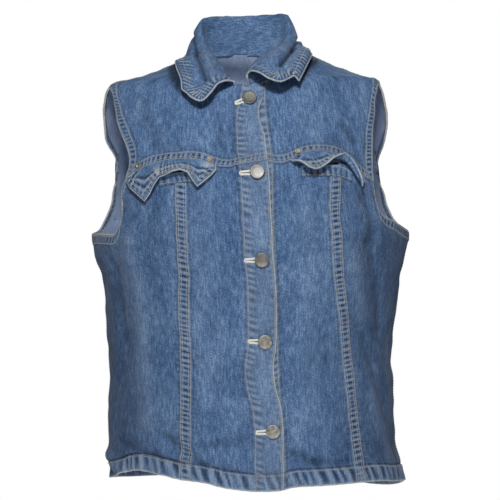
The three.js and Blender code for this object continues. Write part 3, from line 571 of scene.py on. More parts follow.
# Folded creases along a flap: share of its height, relief and width as a share
FLAP_CREASES = [(0.3, -1.1, 0.05), (0.42, 0.8, 0.06), (0.55, -1.0, 0.05), (0.67, 0.6, 0.05)]


# Curves and the body that the cloth lies on


def mix(start, end, share):
    return start + (end - start) * share


def smooth_step(value):
    held = np.clip(value, 0, 1)
    return held * held * (3 - 2 * held)


def smooth_column(at, value):
    """A curve through sorted points that never swings past them."""
    at = np.asarray(at, float)
    value = np.asarray(value, float)
    slope = np.diff(value) / np.diff(at)
    lean = np.zeros(len(at))
    lean[0], lean[-1] = slope[0], slope[-1]
    before, after = slope[:-1], slope[1:]
    same_way = before * after > 0
    total = np.where(same_way, before + after, 1)
    lean[1:-1] = np.where(same_way, 2 * before * after / total, 0)

    def read(place):
        held = np.clip(place, at[0], at[-1])
        k = np.clip(np.searchsorted(at, held, side="left") - 1, 0, len(at) - 2)
        span = at[k + 1] - at[k]
        t = (held - at[k]) / span
        rise = t * (1 - t) ** 2 * span * lean[k] - t * t * (1 - t) * span * lean[k + 1]
        return mix(value[k], value[k + 1], t * t * (3 - 2 * t)) + rise

    return read


RIGHT_AT, LEFT_AT, MIDDLE_AT, FRONT_AT, BACK_AT = (
    smooth_column(SECTIONS[:, 0], SECTIONS[:, column]) for column in range(1, 6)
)


def half_width(on_right, z):
    """The body's width at a height, from its middle to the right or the left."""
    return np.where(on_right, MIDDLE_AT(z) - RIGHT_AT(z), LEFT_AT(z) - MIDDLE_AT(z))


def bare_body(turn, z):
    """The inner face of the cloth without its folds."""
    across = np.sin(np.radians(turn))
    along = np.cos(np.radians(turn))
    x = MIDDLE_AT(z) + half_width(across < 0, z) * across
    depth = np.where(along > 0, FRONT_AT(z), BACK_AT(z))
    return np.stack([x, -depth * along, z + 0 * turn], -1)


def unit(vectors):
    return vectors / np.maximum(np.linalg.norm(vectors, axis=-1, keepdims=True), 1e-9)


def outward(turn, z):
    step = 0.2
    across = bare_body(turn + step, z) - bare_body(turn - step, z)
    up = bare_body(turn, z + step) - bare_body(turn, z - step)
    return unit(np.cross(across, up))


def front_turn(x, z):
    beside = x - MIDDLE_AT(z)
    return np.degrees(np.arcsin(np.clip(beside / half_width(beside < 0, z), -1, 1)))


def fold_lines(rows, turn_of):
    lines = []
    for x0, z0, x1, z1, width, depth in rows:
        start = np.array([turn_of(x0, z0) * MM_PER_DEGREE, z0])
        end = np.array([turn_of(x1, z1) * MM_PER_DEGREE, z1])
        lines.append((start, end, width, depth))
    return lines


FOLDS = fold_lines(FRONT_FOLDS, front_turn)
FOLDS += fold_lines(BACK_FOLDS, lambda x, z: 180 - front_turn(x, z))


def fold_relief(turn, z):
    relief = np.zeros(np.broadcast(turn, z).shape)
    for start, end, width, depth in FOLDS:
        run = end - start
        for lap in (-360, 0, 360):
            x = (turn + lap) * MM_PER_DEGREE - start[0]
            up = z - start[1]
            share = np.clip((x * run[0] + up * run[1]) / (run @ run), 0, 1)
            away = np.hypot(x - share * run[0], up - share * run[1]) / width
            relief += depth * np.exp(-away * away)
    return relief


# Slight unevenness of the whole cloth: waves with fixed directions, lengths and heights
rng = np.random.default_rng(7)
WAVES = [
    (unit(rng.normal(size=3)) * 2 * np.pi / length, rng.uniform(0, 2 * np.pi), height)
    for length, height in [(70, 0.35)] * 5 + [(34, 0.2)] * 7 + [(17, 0.1)] * 8
]


def ripple(points):
    return sum(height * np.sin(points @ direction + phase) for direction, phase, height in WAVES)


def cloth(turn, z, off):
    base = bare_body(turn, z)
    relief = fold_relief(turn, z) + ripple(base) + off
    return base + outward(turn, z) * relief[..., None]


def smooth_line(points, share):
    """A centripetal curve through points, read at shares from 0 to 1 of its knots."""
    points = np.asarray(points, float)
    ends = [2 * points[0] - points[1], *points, 2 * points[-1] - points[-2]]
    padded = np.array(ends)
    place = np.clip(np.asarray(share, float), 0, 1) * (len(points) - 1)
    k = np.minimum(place.astype(int), len(points) - 2)
    t = (place - k)[..., None]
    p0, p1, p2, p3 = (padded[k + step] for step in range(4))
    gap = [
        np.sqrt(np.linalg.norm(b - a, axis=-1, keepdims=True))
        for a, b in ((p0, p1), (p1, p2), (p2, p3))
    ]
    d1 = np.where(gap[1] < 1e-4, 1, gap[1])
    d0 = np.where(gap[0] < 1e-4, d1, gap[0])
    d2 = np.where(gap[2] < 1e-4, d1, gap[2])
    m1 = ((p1 - p0) / d0 - (p2 - p0) / (d0 + d1) + (p2 - p1) / d1) * d1
    m2 = ((p2 - p1) / d1 - (p3 - p1) / (d1 + d2) + (p3 - p2) / d2) * d1
    cubic = 2 * p1 - 2 * p2 + m1 + m2
    square = -3 * p1 + 3 * p2 - 2 * m1 - m2
    return p1 + m1 * t + square * t * t + cubic * t * t * t


def lengths_along(points, axis=0):
    """Running length along one axis of a grid or line of points."""
    steps = np.linalg.norm(np.diff(points, axis=axis), axis=-1)
    start = np.zeros_like(np.take(steps, [0], axis=axis))
    return np.concatenate([start, np.cumsum(steps, axis=axis)], axis=axis)


def read_along(place, run, values):
    """Each column of values, read at places along their running length."""
    return np.stack([np.interp(place, run, column) for column in values.T], -1)


def stretch(points, first, last):
    """A stretch of a seam line, read by the share of its length, as turn and z."""
    flat = [(turn * MM_PER_DEGREE, z) for turn, z in points]
    spots = smooth_line(flat, np.linspace(first, last, 241) / (len(points) - 1))
    spots[:, 0] /= MM_PER_DEGREE
    runs = lengths_along(bare_body(spots[:, 0], spots[:, 1]))
    return lambda share: read_along(np.clip(share, 0, 1) * runs[-1], runs, spots)


def front_seam(rows, first, last):
    names = [row[2] if len(row) > 2 else "" for row in rows]
    points = [(float(front_turn(row[0], row[1])), row[1]) for row in rows]
    return stretch(points, names.index(first), names.index(last))


def back_seam(rows):
    return stretch(rows, 0, len(rows) - 1)


def upright(turn, from_z, to_z):
    return stretch([(turn, from_z), (turn, to_z)], 0, 1)


def chain(first, second, corner):
    def read(share):
        share = np.asarray(share, float)
        near = first(share / corner)
        far = second((share - corner) / (1 - corner))
        return np.where((share < corner)[..., None], near, far)

    return read


def patch(bottom, top, start, end):
    """A smooth filling between four edges, read at u across and v up, as turn and z."""
    corner = [bottom(0.0), bottom(1.0), top(0.0), top(1.0)]

    def read(u, v):
        across, up = u[..., None], v[..., None]
        level = mix(bottom(u), top(u), up)
        side = mix(start(v), end(v), across)
        flat = mix(mix(corner[0], corner[1], across), mix(corner[2], corner[3], across), up)
        spot = level + side - flat
        return spot[..., 0], spot[..., 1]

    return read


HIDDEN_EDGE_AT = smooth_column(
    [row[1] for row in reversed(LEFT_EDGE)], [row[0] for row in reversed(LEFT_EDGE)]
)


def overlap_off(turn, z):
    """The right front rises over the left one from a little way before the hidden edge."""
    ramp_end = HIDDEN_EDGE_AT(z) - RAMP_CLEARANCE
    x = bare_body(turn, z)[..., 0]
    return OVERLAP_LIFT * smooth_step((x - (ramp_end - OVERLAP_RAMP)) / OVERLAP_RAMP)


def flat_off(turn, z):
    return 0 * z


def uneven_wave(run, pitch, seed):
    """Ridges and hollows along a seam that has shrunk along its thread, from -1 to 1."""
    phase = 2 * np.pi * run / pitch + 1.3 * np.sin(run / 7.3 + seed)
    phase += 1.6 * np.sin(run / 19.0 + 2.3 * seed)
    strength = 0.68 + 0.2 * np.sin(run / 13.7 + 1.7 * seed) + 0.14 * np.sin(run / 5.3 + 0.9 * seed)
    return np.sin(phase) * strength


# Grids of cloth

# Grid lines of a plain side, and both sides of the step where a raised band ends
PLAIN_ROWS = np.array([0.0, 0.9, 2.0])
STEP_ROWS = np.array([-0.4, 0.4, 1.3])
BAND_INSET = 1.2


def bell(value, width):
    return np.exp(-((value / width) ** 2))


def band_lines(width):
    """Distances of the grid lines over a band and its step, from the edge."""
    if not width:
        return PLAIN_ROWS
    first, last = PLAIN_ROWS[1], width - BAND_INSET
    count = max(int(round((last - first) / FRONT_CELL)), 2)
    return np.concatenate([[0.0], np.linspace(first, last, count), width + STEP_ROWS])


def spread(start, end, stops, lengths, typical, cell):
    """Shares of the grid lines over stretches of the given lengths, one row for each."""
    near = band_lines(start)
    far = band_lines(end)[::-1]
    typical_knots = [near[-1] / typical, *stops, 1 - far[0] / typical]
    knots = [near[-1] / lengths, *(0 * lengths + stop for stop in stops), 1 - far[0] / lengths]
    parts = [near[None, :] / lengths[:, None]]
    for k in range(len(knots) - 1):
        span = (typical_knots[k + 1] - typical_knots[k]) * typical
        count = max(int(np.ceil(span / cell)), 1)
        shares = np.linspace(0, 1, count + 1)[1:]
        if k == len(knots) - 2:
            shares = shares[:-1]
        parts.append(mix(knots[k][:, None], knots[k + 1][:, None], shares[None, :]))
    parts.append(1 - far[None, :] / lengths[:, None])
    return np.concatenate(parts, axis=1)


def grid_normals(points):
    across = np.gradient(points, axis=1)
    up = np.gradient(points, axis=0)
    return unit(np.cross(across, up))


NEARLY = 1e-6


class Wall:
    """A sheet of cloth as two grids of points, rows upwards and columns with the turn."""

    def __init__(self, outer, inner, weave):
        self.outer = outer
        self.inner = inner
        self.weave = weave
        self.normal = grid_normals(outer)
        across = lengths_along(outer, 1)
        up = lengths_along(outer, 0)
        self.distance = {
            "start": across,
            "end": across[:, -1:] - across,
            "foot": up,
            "head": up[-1:] - up,
        }
        self.pale = np.zeros(outer.shape[:2])
        self.dark = np.zeros(outer.shape[:2])
        self.turned = np.zeros(outer.shape[:2], bool)
        self.edge_wear = 0.6

    def line(self, side, distance, low=0, high=1, inside=False):
        """The points and normals at a distance from one side, over a stretch of that side."""
        face, normal = (self.inner, -self.normal) if inside else (self.outer, self.normal)
        values = np.concatenate([face, normal], -1)
        away = self.distance[side]
        if side in ("foot", "head"):
            away, values = away.T, values.swapaxes(0, 1)
        if side in ("end", "head"):
            away, values = away[:, ::-1], values[:, ::-1]
        share = np.linspace(0, 1, len(away))
        kept = (share >= low - NEARLY) & (share <= high + NEARLY) & (away[:, -1] >= distance)
        spots = [read_along(distance, away[k], values[k]) for k in np.nonzero(kept)[0]]
        return np.array(spots).reshape(-1, 6)


def panel_grid(edges, widths, cell, stops_across, stops_up):
    """The shares across and up of a panel's grid points, and their turn and z. Grid lines follow
    the bands of the given widths and pass through the stops."""
    place = patch(**edges)
    shares = np.linspace(0, 1, COARSE)
    coarse = bare_body(*place(*np.meshgrid(shares, shares)))
    across = lengths_along(coarse, 1)[:, -1]
    up = lengths_along(coarse, 0)[-1]
    sideways = (widths["start"], widths["end"], stops_across)
    upwards = (widths["foot"], widths["head"], stops_up)
    mean_u = spread(*sideways, np.array([across.mean()]), across.mean(), cell)[0]
    mean_v = spread(*upwards, np.array([up.mean()]), up.mean(), cell)[0]
    u = spread(*sideways, np.interp(mean_v, shares, across), across.mean(), cell)
    v = spread(*upwards, np.interp(mean_u, shares, up), up.mean(), cell).T
    return u, v, *place(u, v)


def panel(edges, bands, seed, cell=FRONT_CELL, lift=flat_off, stops_across=(), stops_up=(), lines=(),
          free=()):
    """A panel of the body, its stitch lines and its free edges. Bands are rows of side, kind and
    stretch of the side. Lines and free edges that belong to no band are given."""
    widths = {side: 0 for side in ("start", "end", "foot", "head")}
    for side, kind, _, _ in bands:
        widths[side] = max(widths[side], BANDS[kind]["width"])
    u, v, turn, z = panel_grid(edges, widths, cell, stops_across, stops_up)
    base = bare_body(turn, z)
    away = outward(turn, z)
    folds = fold_relief(turn, z)
    middle = base + away * (folds + ripple(base) + lift(turn, z))[..., None]
    # The weave runs level and upright; over the shoulders it follows the cloth, not its height
    weave = np.stack([turn * MM_PER_DEGREE, z.min() + lengths_along(middle, 0)], -1)
    distance = Wall(middle, middle, weave).distance

    # Painted shade towards the sides, fading out upwards towards the yoke
    from_middle = np.abs((turn + 90) % 180 - 90)
    side_shade = smooth_step((from_middle - SIDE_SHADE_TURN) / SIDE_SHADE_SPREAD)
    side_shade = SIDE_SHADE * side_shade * smooth_step((SIDE_SHADE_Z - z) / SIDE_SHADE_DROP)
    # Painted shade in the hollows of the folds
    dark = np.maximum(VALLEY_SHADE * smooth_step(-folds / 3.8), side_shade)
    # Painted shadow of the collar on the cloth near and below its free edge
    if z.max() > UNDER_COLLAR_Z:
        for leaf in (RIGHT_LEAF, LEFT_LEAF):
            gap, _ = nearest_on_edge(middle, dense(smooth_line(leaf[:, 3:], np.linspace(0, 1, 80)), 2))
            dark = np.maximum(dark, smooth_step((SHADED_FAR - gap) / (SHADED_FAR - SHADED_NEAR)))
    # Painted highlight on the ridges of the folds
    pale = RIDGE_HIGHLIGHT * smooth_step(folds / 3)

    lines, free = list(lines), list(free)
    raised, pucker, both, turned = (np.zeros(z.shape) for _ in range(4))
    for index, (side, kind, low, high) in enumerate(bands):
        look = BANDS[kind]
        width = look["width"]
        lines += [(side, near, low, high) for near in look["near"]]
        lines += [(side, width - far, low, high) for far in look["far"]]
        d = distance[side]
        along, run = (v, distance["foot"]) if side in ("start", "end") else (u, distance["start"])
        if kind == "hem":
            run = weave[..., 0]
        spanned = ((along >= low - NEARLY) & (along <= high + NEARLY)).astype(float)
        in_band = (1 - smooth_step(d - width + 0.5)) * spanned if width else 0 * z
        tail = np.exp(-np.maximum(d - width, 0) / look["tail"]) * spanned
        wave = uneven_wave(run + look["lean"] * d, look["pitch"], seed + BAND_SEED * index)
        if kind.endswith("front"):
            # Strongest beside the inner stitch line, and again near the edge
            sewn = bell(d - width + 6, 6.5) + 0.55 * bell(d - 4, 4)
            pale = np.maximum(pale, 0.2 * in_band)
        elif kind == "hem":
            sewn = in_band * (0.75 + 0.25 * smooth_step(d / width)) + (1 - in_band) * tail * 0.5
        elif width:
            # Held flat by the stitch lines on both sides, and puckered between them
            core = smooth_step((d - 1.2) / 1.6) * smooth_step((width - 1.6 - d) / 1.6)
            sewn = in_band * (0.25 + 0.75 * core) + (1 - in_band) * tail * 0.3
        else:
            sewn = tail * 0.35
        sewn = sewn * spanned
        raised = np.maximum(raised, in_band)
        pucker += look["height"] * wave * sewn
        if kind in FREE_KINDS:
            free.append((side, low, high))
            both += look["height"] * wave * sewn
            turned = np.maximum(turned, in_band)
        dark = np.maximum(dark, look["show"] * sewn * smooth_step(-wave * 1.5 + 0.1))
        pale = np.maximum(pale, PUCKER_PALE * look["show"] * sewn * smooth_step(wave * 1.5))
        if kind == "hem":
            small = uneven_wave(run + 0.2 * d, 5.3, seed + 4.4)
            pale = np.maximum(pale, 0.6 * in_band * smooth_step(0.8 * wave + 0.5 * small + 0.25))
            # At the flare the cloth above the hem bulges over a sharp crease, with a painted shadow
            # beneath the bulge
            flare = smooth_step((FLARE_X - base[..., 0]) / FLARE_X_SPREAD)
            flare = flare * smooth_step((FLARE_Y - base[..., 1]) / FLARE_Y_SPREAD)
            pucker += 3.0 * flare * bell(d - width - 6, 3.2)
            pucker -= (0.7 + 1.3 * flare) * bell(d - width - 0.8, 1.3)
            dark = np.maximum(dark, flare * bell(d - width - 1, 2.0))
        if width:
            # Rubbed pale at the edge and along both stitch lines, with painted shade in the crease past
            # the band
            edge_pale = 1.0 if kind in FREE_KINDS else 0.5
            rubbed = np.maximum(edge_pale * bell(d, 0.8), 0.3 * bell(d - 1.6, 1.2))
            pale = np.maximum(pale, spanned * np.maximum(rubbed, 0.3 * bell(d - width + 1, 1.3)))
            crease = 0.95 if kind == "hem" else 0.55
            dark = np.maximum(dark, spanned * crease * bell(d - width - 1.4, 1.2))
        else:
            # A plain side gets a painted shadow line along its edge, under its neighbour's band
            dark = np.maximum(dark, spanned * 0.9 * bell(d, 1.3))
    wall = Wall(
        middle + away * (CLOTH + RAISED * raised + pucker)[..., None],
        middle + away * both[..., None] * 0.8,
        weave,
    )
    wall.pale = pale
    wall.dark = dark * (1 - 0.6 * pale)
    wall.turned = turned > 0.5
    return wall, [wall.line(*line) for line in lines], free


# Meshes

# Directions of the rings round a free edge, from the outer face to the inner one
RIM_ANGLES = np.radians([40, 90, 140])


def mesh_object(name, points, faces):
    mesh = bpy.data.meshes.new(name)
    mesh.from_pydata((np.asarray(points) * MM).tolist(), [], faces)
    mesh.validate()
    mesh.polygons.foreach_set("use_smooth", [True] * len(mesh.polygons))
    piece = bpy.data.objects.new(name, mesh)
    bpy.context.scene.collection.objects.link(piece)
    return piece


def wall_object(name, wall, free):
    """A closed wall from a Wall, round along its free turned edges and square at its seams."""
    rows, columns = wall.outer.shape[:2]
    count = rows * columns
    index = np.arange(count).reshape(rows, columns)
    a, b = index[:-1, :-1], index[:-1, 1:]
    d, c = index[1:, :-1], index[1:, 1:]
    outer_faces = np.stack([a, b, c, d], -1).reshape(-1, 4)
    inner_faces = np.stack([a, d, c, b], -1).reshape(-1, 4) + count
    # The rim goes once round the sheet, as row, column and side
    rim = [(0, i, "foot") for i in range(columns - 1)]
    rim += [(j, columns - 1, "end") for j in range(rows - 1)]
    rim += [(rows - 1, i, "head") for i in range(columns - 1, 0, -1)]
    rim += [(j, 0, "start") for j in range(rows - 1, 0, -1)]
    row, column, side = (np.array(part) for part in zip(*rim))
    level = np.isin(side, ("foot", "head"))
    inward_row = np.where(level, np.clip(row, 1, rows - 2), row)
    inward_column = np.where(level, column, np.clip(column, 1, columns - 2))
    outer = wall.outer[row, column]
    inner = wall.inner[row, column]
    out = unit(outer - wall.outer[inward_row, inward_column])
    centre = (outer + inner) / 2
    up = (outer - inner) / 2
    radius = np.linalg.norm(up, axis=1, keepdims=True)
    share = np.where(level, column / (columns - 1), row / (rows - 1))
    rounded = np.zeros(len(rim))
    for free_side, low, high in free:
        rounded[(side == free_side) & (share >= low) & (share <= high)] = 1
    rings = [
        centre + up * np.cos(angle) + out * radius * np.sin(angle) * rounded[:, None]
        for angle in RIM_ANGLES
    ]
    on_outer = index[row, column]
    loops = [on_outer]
    loops += [2 * count + ring * len(rim) + np.arange(len(rim)) for ring in range(len(rings))]
    loops.append(on_outer + count)
    rim_faces = [
        np.stack([np.roll(near, -1), near, far, np.roll(far, -1)], -1)
        for near, far in zip(loops, loops[1:])
    ]
    points = np.concatenate([wall.outer.reshape(-1, 3), wall.inner.reshape(-1, 3), *rings])
    faces = np.concatenate([outer_faces, inner_faces, *rim_faces])
    piece = mesh_object(name, points, faces.tolist())
    mesh = piece.data

    weave = wall.weave.reshape(-1, 2)
    weave = np.concatenate([weave, weave] + [weave[on_outer]] * len(rings)) * MM
    vertex_of_loop = np.zeros(len(mesh.loops), int)
    mesh.loops.foreach_get("vertex_index", vertex_of_loop)
    unwrapped = weave[vertex_of_loop].astype(np.float32).ravel()
    mesh.uv_layers.new(name="weave").data.foreach_set("uv", unwrapped)
    worn = wall.edge_wear * rounded
    within = np.where(wall.turned.reshape(-1), 1, 0.5)
    for label, values, edge in (("pale", wall.pale, worn), ("dark", wall.dark, 0 * worn)):
        flat = values.reshape(-1)
        full = np.concatenate([flat, within * flat] + [np.maximum(edge, flat[on_outer])] * len(rings))
        if label == "pale":
            full[on_outer + count] = worn
        mesh.attributes.new(label, "FLOAT", "POINT").data.foreach_set("value", full.astype(np.float32))
    # The inner face shows the lining, save where the cloth's outer face is turned in
    turned = wall.turned[:-1, :-1] & wall.turned[1:, 1:]
    lining = np.zeros(len(mesh.polygons), np.int32)
    lining[len(outer_faces) : len(outer_faces) + len(inner_faces)] = np.where(turned, 0, 1).ravel()
    mesh.polygons.foreach_set("material_index", lining)
    mesh.update()
    return piece


def even_line(line, pitch):
    """Starts of the stitches along a line of points and normals, and a reader of that line."""
    run = lengths_along(line[:, :3])
    count = int(run[-1] / pitch)
    starts = (np.arange(count) + 0.5 * (run[-1] / pitch - count)) * pitch
    return starts, lambda place: read_along(place, run, line)


STITCH_SIDES = 6
STITCH_AT = np.array([0, 0.16, 0.5, 0.84, 1])
STITCH_RADIUS = np.array([0.45, 0.95, 1.0, 0.95, 0.45])
STITCH_RISE = np.array([-0.25, 0.16, 0.3, 0.16, -0.25])


def add_stitch(points, faces, ring, radius):
    """One short rounded thread that dips into the cloth at both ends."""
    along = unit(ring[-1, :3] - ring[0, :3])
    up = unit(ring[2, 3:])
    side = unit(np.cross(along, up))
    first = len(points)
    for k in range(len(STITCH_AT)):
        centre = ring[k, :3] + up * STITCH_RISE[k]
        for turn in np.linspace(0, 2 * np.pi, STITCH_SIDES, endpoint=False):
            away = side * np.cos(turn) + 0.8 * up * np.sin(turn)
            points.append(centre + STITCH_RADIUS[k] * radius * away)
    for k in range(len(STITCH_AT) - 1):
        for s in range(STITCH_SIDES):
            a = first + k * STITCH_SIDES + s
            b = first + k * STITCH_SIDES + (s + 1) % STITCH_SIDES
            faces.append((a, b, b + STITCH_SIDES, a + STITCH_SIDES))
    last = first + (len(STITCH_AT) - 1) * STITCH_SIDES
    faces.append(tuple(first + s for s in reversed(range(STITCH_SIDES))))
    faces.append(tuple(last + s for s in range(STITCH_SIDES)))


def thread_mesh(lines):
    """Topstitching along lines of points and normals."""
    points = []
    faces = []
    for line in lines:
        if len(line) < 2:
            continue
        starts, read = even_line(line, STITCH_PITCH)
        for start in starts:
            add_stitch(points, faces, read(start + STITCH_AT * STITCH_LENGTH), THREAD)
    return points, faces


def satin_mesh(bars):
    """Close threads from the first to the second point and normal of each bar."""
    points = []
    faces = []
    for first, last in bars:
        add_stitch(points, faces, mix(first, last, STITCH_AT[:, None]), SATIN_THREAD)
    return points, faces


# The collar, flaps and pocket mouths, which stand off the body


def over_body(points):
    """How far points lie off the body, and the directions away from it."""

    def ratio(spots):
        x, y, z = spots[..., 0], spots[..., 1], spots[..., 2]
        beside = x - MIDDLE_AT(z)
        depth = np.where(y < 0, FRONT_AT(z), BACK_AT(z))
        return np.hypot(beside / half_width(beside < 0, z), y / depth)

    step = 0.1
    slope = [ratio(points + step * axis) - ratio(points - step * axis) for axis in np.eye(3)]
    away = np.stack(slope, -1) / (2 * step)
    steepness = np.maximum(np.linalg.norm(away, axis=-1), 1e-6)
    return (ratio(points) - 1) / steepness, away / steepness[..., None]


def leaf_columns(leaf, front, seam_at, seat_off):
    """The columns of one leaf from its front end to the middle of the back, each from the neck seam
    over the roll to the free edge."""
    u = np.linspace(0, 1, COLLAR_COLUMNS)
    roll = smooth_line(leaf[:, :3], u)
    edge = smooth_line(leaf[:, 3:], u)
    fine = smooth_line(front, np.linspace(0, 1, 400))
    fine_run = lengths_along(fine)
    v = np.array(LEAF_ROWS)
    front_edge = read_along(v * fine_run[-1], fine_run, fine)
    across, down = u[:, None, None], v[None, :, None]
    surface = mix(roll[:, None], edge[:, None], down)
    back_edge = mix(roll[-1], edge[-1], v[:, None])
    side = mix(front_edge, back_edge, across)
    flat = mix(mix(roll[0], edge[0], v[:, None]), back_edge, across)
    surface = surface + side - flat
    tangent = unit(np.gradient(roll, axis=0))
    off = unit(np.cross(tangent, unit(edge - roll)))
    off = off * np.where(off[:, 2:] < 0, -1, 1)
    swell = 4 * v * (1 - v) * (1 - v * LEAF_BULGE_FADE)
    rise = LEAF_BULGE * np.minimum(u / LEAF_BULGE_RISE, 1)
    surface = surface + off[:, None] * (rise[:, None] * swell[None])[..., None]
    height, away = over_body(surface)
    push = np.maximum(LEAF_CLEARANCE - height, 0) * (v > LEAF_OVER_NECK)
    surface = surface + away * push[..., None]

    spot = seam_at(u)
    seat = cloth(spot[:, 0], spot[:, 1], CLOTH / 2 + seat_off(spot[:, 0], spot[:, 1]))
    foot = seat - unit(roll - seat) * COLLAR_TUCK
    neckward = unit(np.stack([-roll[:, 0], NECK_CENTRE_Y - roll[:, 1], 0 * u], -1))
    rise = np.maximum(roll[:, 2] - foot[:, 2], 0)
    drop = np.minimum(STAND_DROP, STAND_DROP_SHARE * rise)
    inset = np.minimum(STAND_INSET, STAND_INSET_SHARE * np.linalg.norm(roll - foot, axis=1))
    shoulder = roll + neckward * inset[:, None]
    shoulder[:, 2] -= drop
    half = (foot + shoulder) / 2 + neckward * (inset * STAND_HOLLOW)[:, None]
    return np.concatenate([np.stack([foot, half, shoulder, roll], 1), surface], axis=1)


def resampled(column):
    """A smooth column of points, read at even places and more closely near its free edge."""
    fine = smooth_line(column, np.linspace(0, 1, 260))
    run = lengths_along(fine)
    near = EDGE_ROWS[EDGE_ROWS < 0.6 * run[-1]]
    rest = np.linspace(0, run[-1] - near[-1], COLLAR_ROWS + 1 - len(near))
    return read_along(np.concatenate([rest, run[-1] - near[::-1][1:]]), run, fine)


def nearest_on_edge(points, edge):
    """Distance of each point of a grid from a line of points, and how far along it that is."""
    flat = points.reshape(-1, 3)
    nearest = np.full(len(flat), np.inf)
    knot = np.zeros(len(flat), int)
    for k, spot in enumerate(edge):
        square = ((flat - spot) ** 2).sum(1)
        knot[square < nearest] = k
        nearest = np.minimum(nearest, square)
    nearest = np.sqrt(nearest)
    run = lengths_along(edge * PUCKER_RUN)
    place = run[knot]
    for shift in (-1, 0):
        k = np.clip(knot + shift, 0, len(edge) - 2)
        step = edge[k + 1] - edge[k]
        share = ((flat - edge[k]) * step).sum(1) / (step**2).sum(1)
        share = np.clip(share, 0, 1)
        gap = np.linalg.norm(flat - edge[k] - step * share[:, None], axis=1)
        closer = gap < nearest
        nearest = np.where(closer, gap, nearest)
        place = np.where(closer, mix(run[k], run[k + 1], share), place)
    return nearest.reshape(points.shape[:2]), place.reshape(points.shape[:2])


def dense(line, gap=0.8):
    run = lengths_along(line)
    return read_along(np.linspace(0, run[-1], int(run[-1] / gap) + 2), run, line)


def curled_wall(middle, thickness, edge, look, seed, crease=0, foot_roll=0):
    """A doubled cloth that curls: beaded along its free edge and puckered past its stitching."""
    normal = grid_normals(middle)
    distance, run = nearest_on_edge(middle, dense(edge))
    # Puckers of uneven pitch, lean and strength, from the cord to a ragged line past the stitching
    lean = 0.3 + 0.35 * np.sin(run / 17 + seed)
    wave = 1.25 * uneven_wave(run + lean * distance, look["pitch"], seed)
    wave = wave * (0.8 + 0.3 * np.sin(run / 3.1 + distance / 2.3 + seed))
    sewn = smooth_step((distance - look["edge"] - 0.6) / 1.6)
    ragged = 7 + 3 * np.sin(run / 6.1 + seed)
    sewn = sewn * bell(np.maximum(distance - look["reach"], 0), ragged)
    sewn = sewn * (0.85 + 0.15 * np.sin(run / 11.3 + seed))
    pucker = look["height"] * wave * sewn
    cord = np.exp(-((distance / look["edge"]) ** 4))
    groove = bell(distance - look["edge"] - 1.1, 0.8)
    sink = bell(distance - look["reach"], 0.9)
    full = thickness / 2 + look["bead"] * cord * (1 + 0.9 * uneven_wave(run, 3.9, seed + 1))
    up = lengths_along(middle, 0)
    surface = full - 0.4 * groove - 0.35 * sink + crease + foot_roll * bell(up, 4)
    wall = Wall(
        middle + normal * (surface + pucker)[..., None],
        middle - normal * (full - 0.6 * pucker - crease)[..., None],
        np.stack([up, lengths_along(middle, 1).mean(0) + 0 * distance], -1),
    )
    wall.edge_distance = distance
    wall.edge_wear = 0.85
    wall.pale = np.maximum(0.85 * cord, CURL_PALE * sewn * smooth_step(wave * 1.6 - 0.15))
    # Painted highlight along the ridges of the folded creases
    wall.pale = np.maximum(wall.pale, 0.5 * smooth_step(crease * 1.5 + 0 * distance))
    # Dark in the groove beside the cord as painted shade, and in the pucker hollows as kept dye
    wall.dark = np.maximum(0.9 * groove, 0.95 * sewn * smooth_step(-wave * 1.5 + 0.1))
    # Painted shade in the hollows of the folded creases
    wall.dark = np.maximum(wall.dark, 0.8 * smooth_step(-crease * 1.2 + 0 * distance)) * (1 - cord)
    return wall


def level_lines(wall, level, shortest=12):
    """The lines of a wall at one distance from its free edge, as chains of points and normals."""
    distance = wall.edge_distance
    values = np.concatenate([wall.outer, wall.normal], -1)
    above = distance > level
    some = above[:-1, :-1] | above[:-1, 1:] | above[1:, :-1] | above[1:, 1:]
    every = above[:-1, :-1] & above[:-1, 1:] & above[1:, :-1] & above[1:, 1:]
    spots = {}
    links = {}
    for j, i in zip(*np.nonzero(some & ~every)):
        corners = [(j, i), (j, i + 1), (j + 1, i + 1), (j + 1, i)]
        cut = []
        for a, b in zip(corners, corners[1:] + corners[:1]):
            if above[a] != above[b]:
                key = (min(a, b), max(a, b))
                share = (level - distance[a]) / (distance[b] - distance[a])
                spots[key] = mix(values[a], values[b], share)
                cut.append(key)
        if len(cut) == 2:
            links.setdefault(cut[0], []).append(cut[1])
            links.setdefault(cut[1], []).append(cut[0])
    lines = []
    left = set(links)
    for start in sorted(links, key=lambda key: (len(links[key]), key)):
        if start not in left:
            continue
        chained = [start]
        left.discard(start)
        while True:
            following = [key for key in links[chained[-1]] if key in left]
            if not following:
                break
            chained.append(following[0])
            left.discard(following[0])
        line = np.array([spots[key] for key in chained])
        if lengths_along(line[:, :3])[-1] > shortest:
            lines.append(line)
    return lines


def grid_line(wall, corners):
    """A line over a wall through corners given as shares of its columns and rows."""
    values = np.concatenate([wall.outer, wall.normal], -1)
    rows, columns = values.shape[:2]
    spots = []
    for start, end in zip(corners, corners[1:]):
        for share in np.linspace(0, 1, 12):
            across, up = mix(np.array(start), np.array(end), share)
            i, j = across * (columns - 1), up * (rows - 1)
            i0, j0 = min(int(i), columns - 2), min(int(j), rows - 2)
            low = mix(values[j0, i0], values[j0, i0 + 1], i - i0)
            high = mix(values[j0 + 1, i0], values[j0 + 1, i0 + 1], i - i0)
            spots.append(mix(low, high, j - j0))
    return np.array(spots)


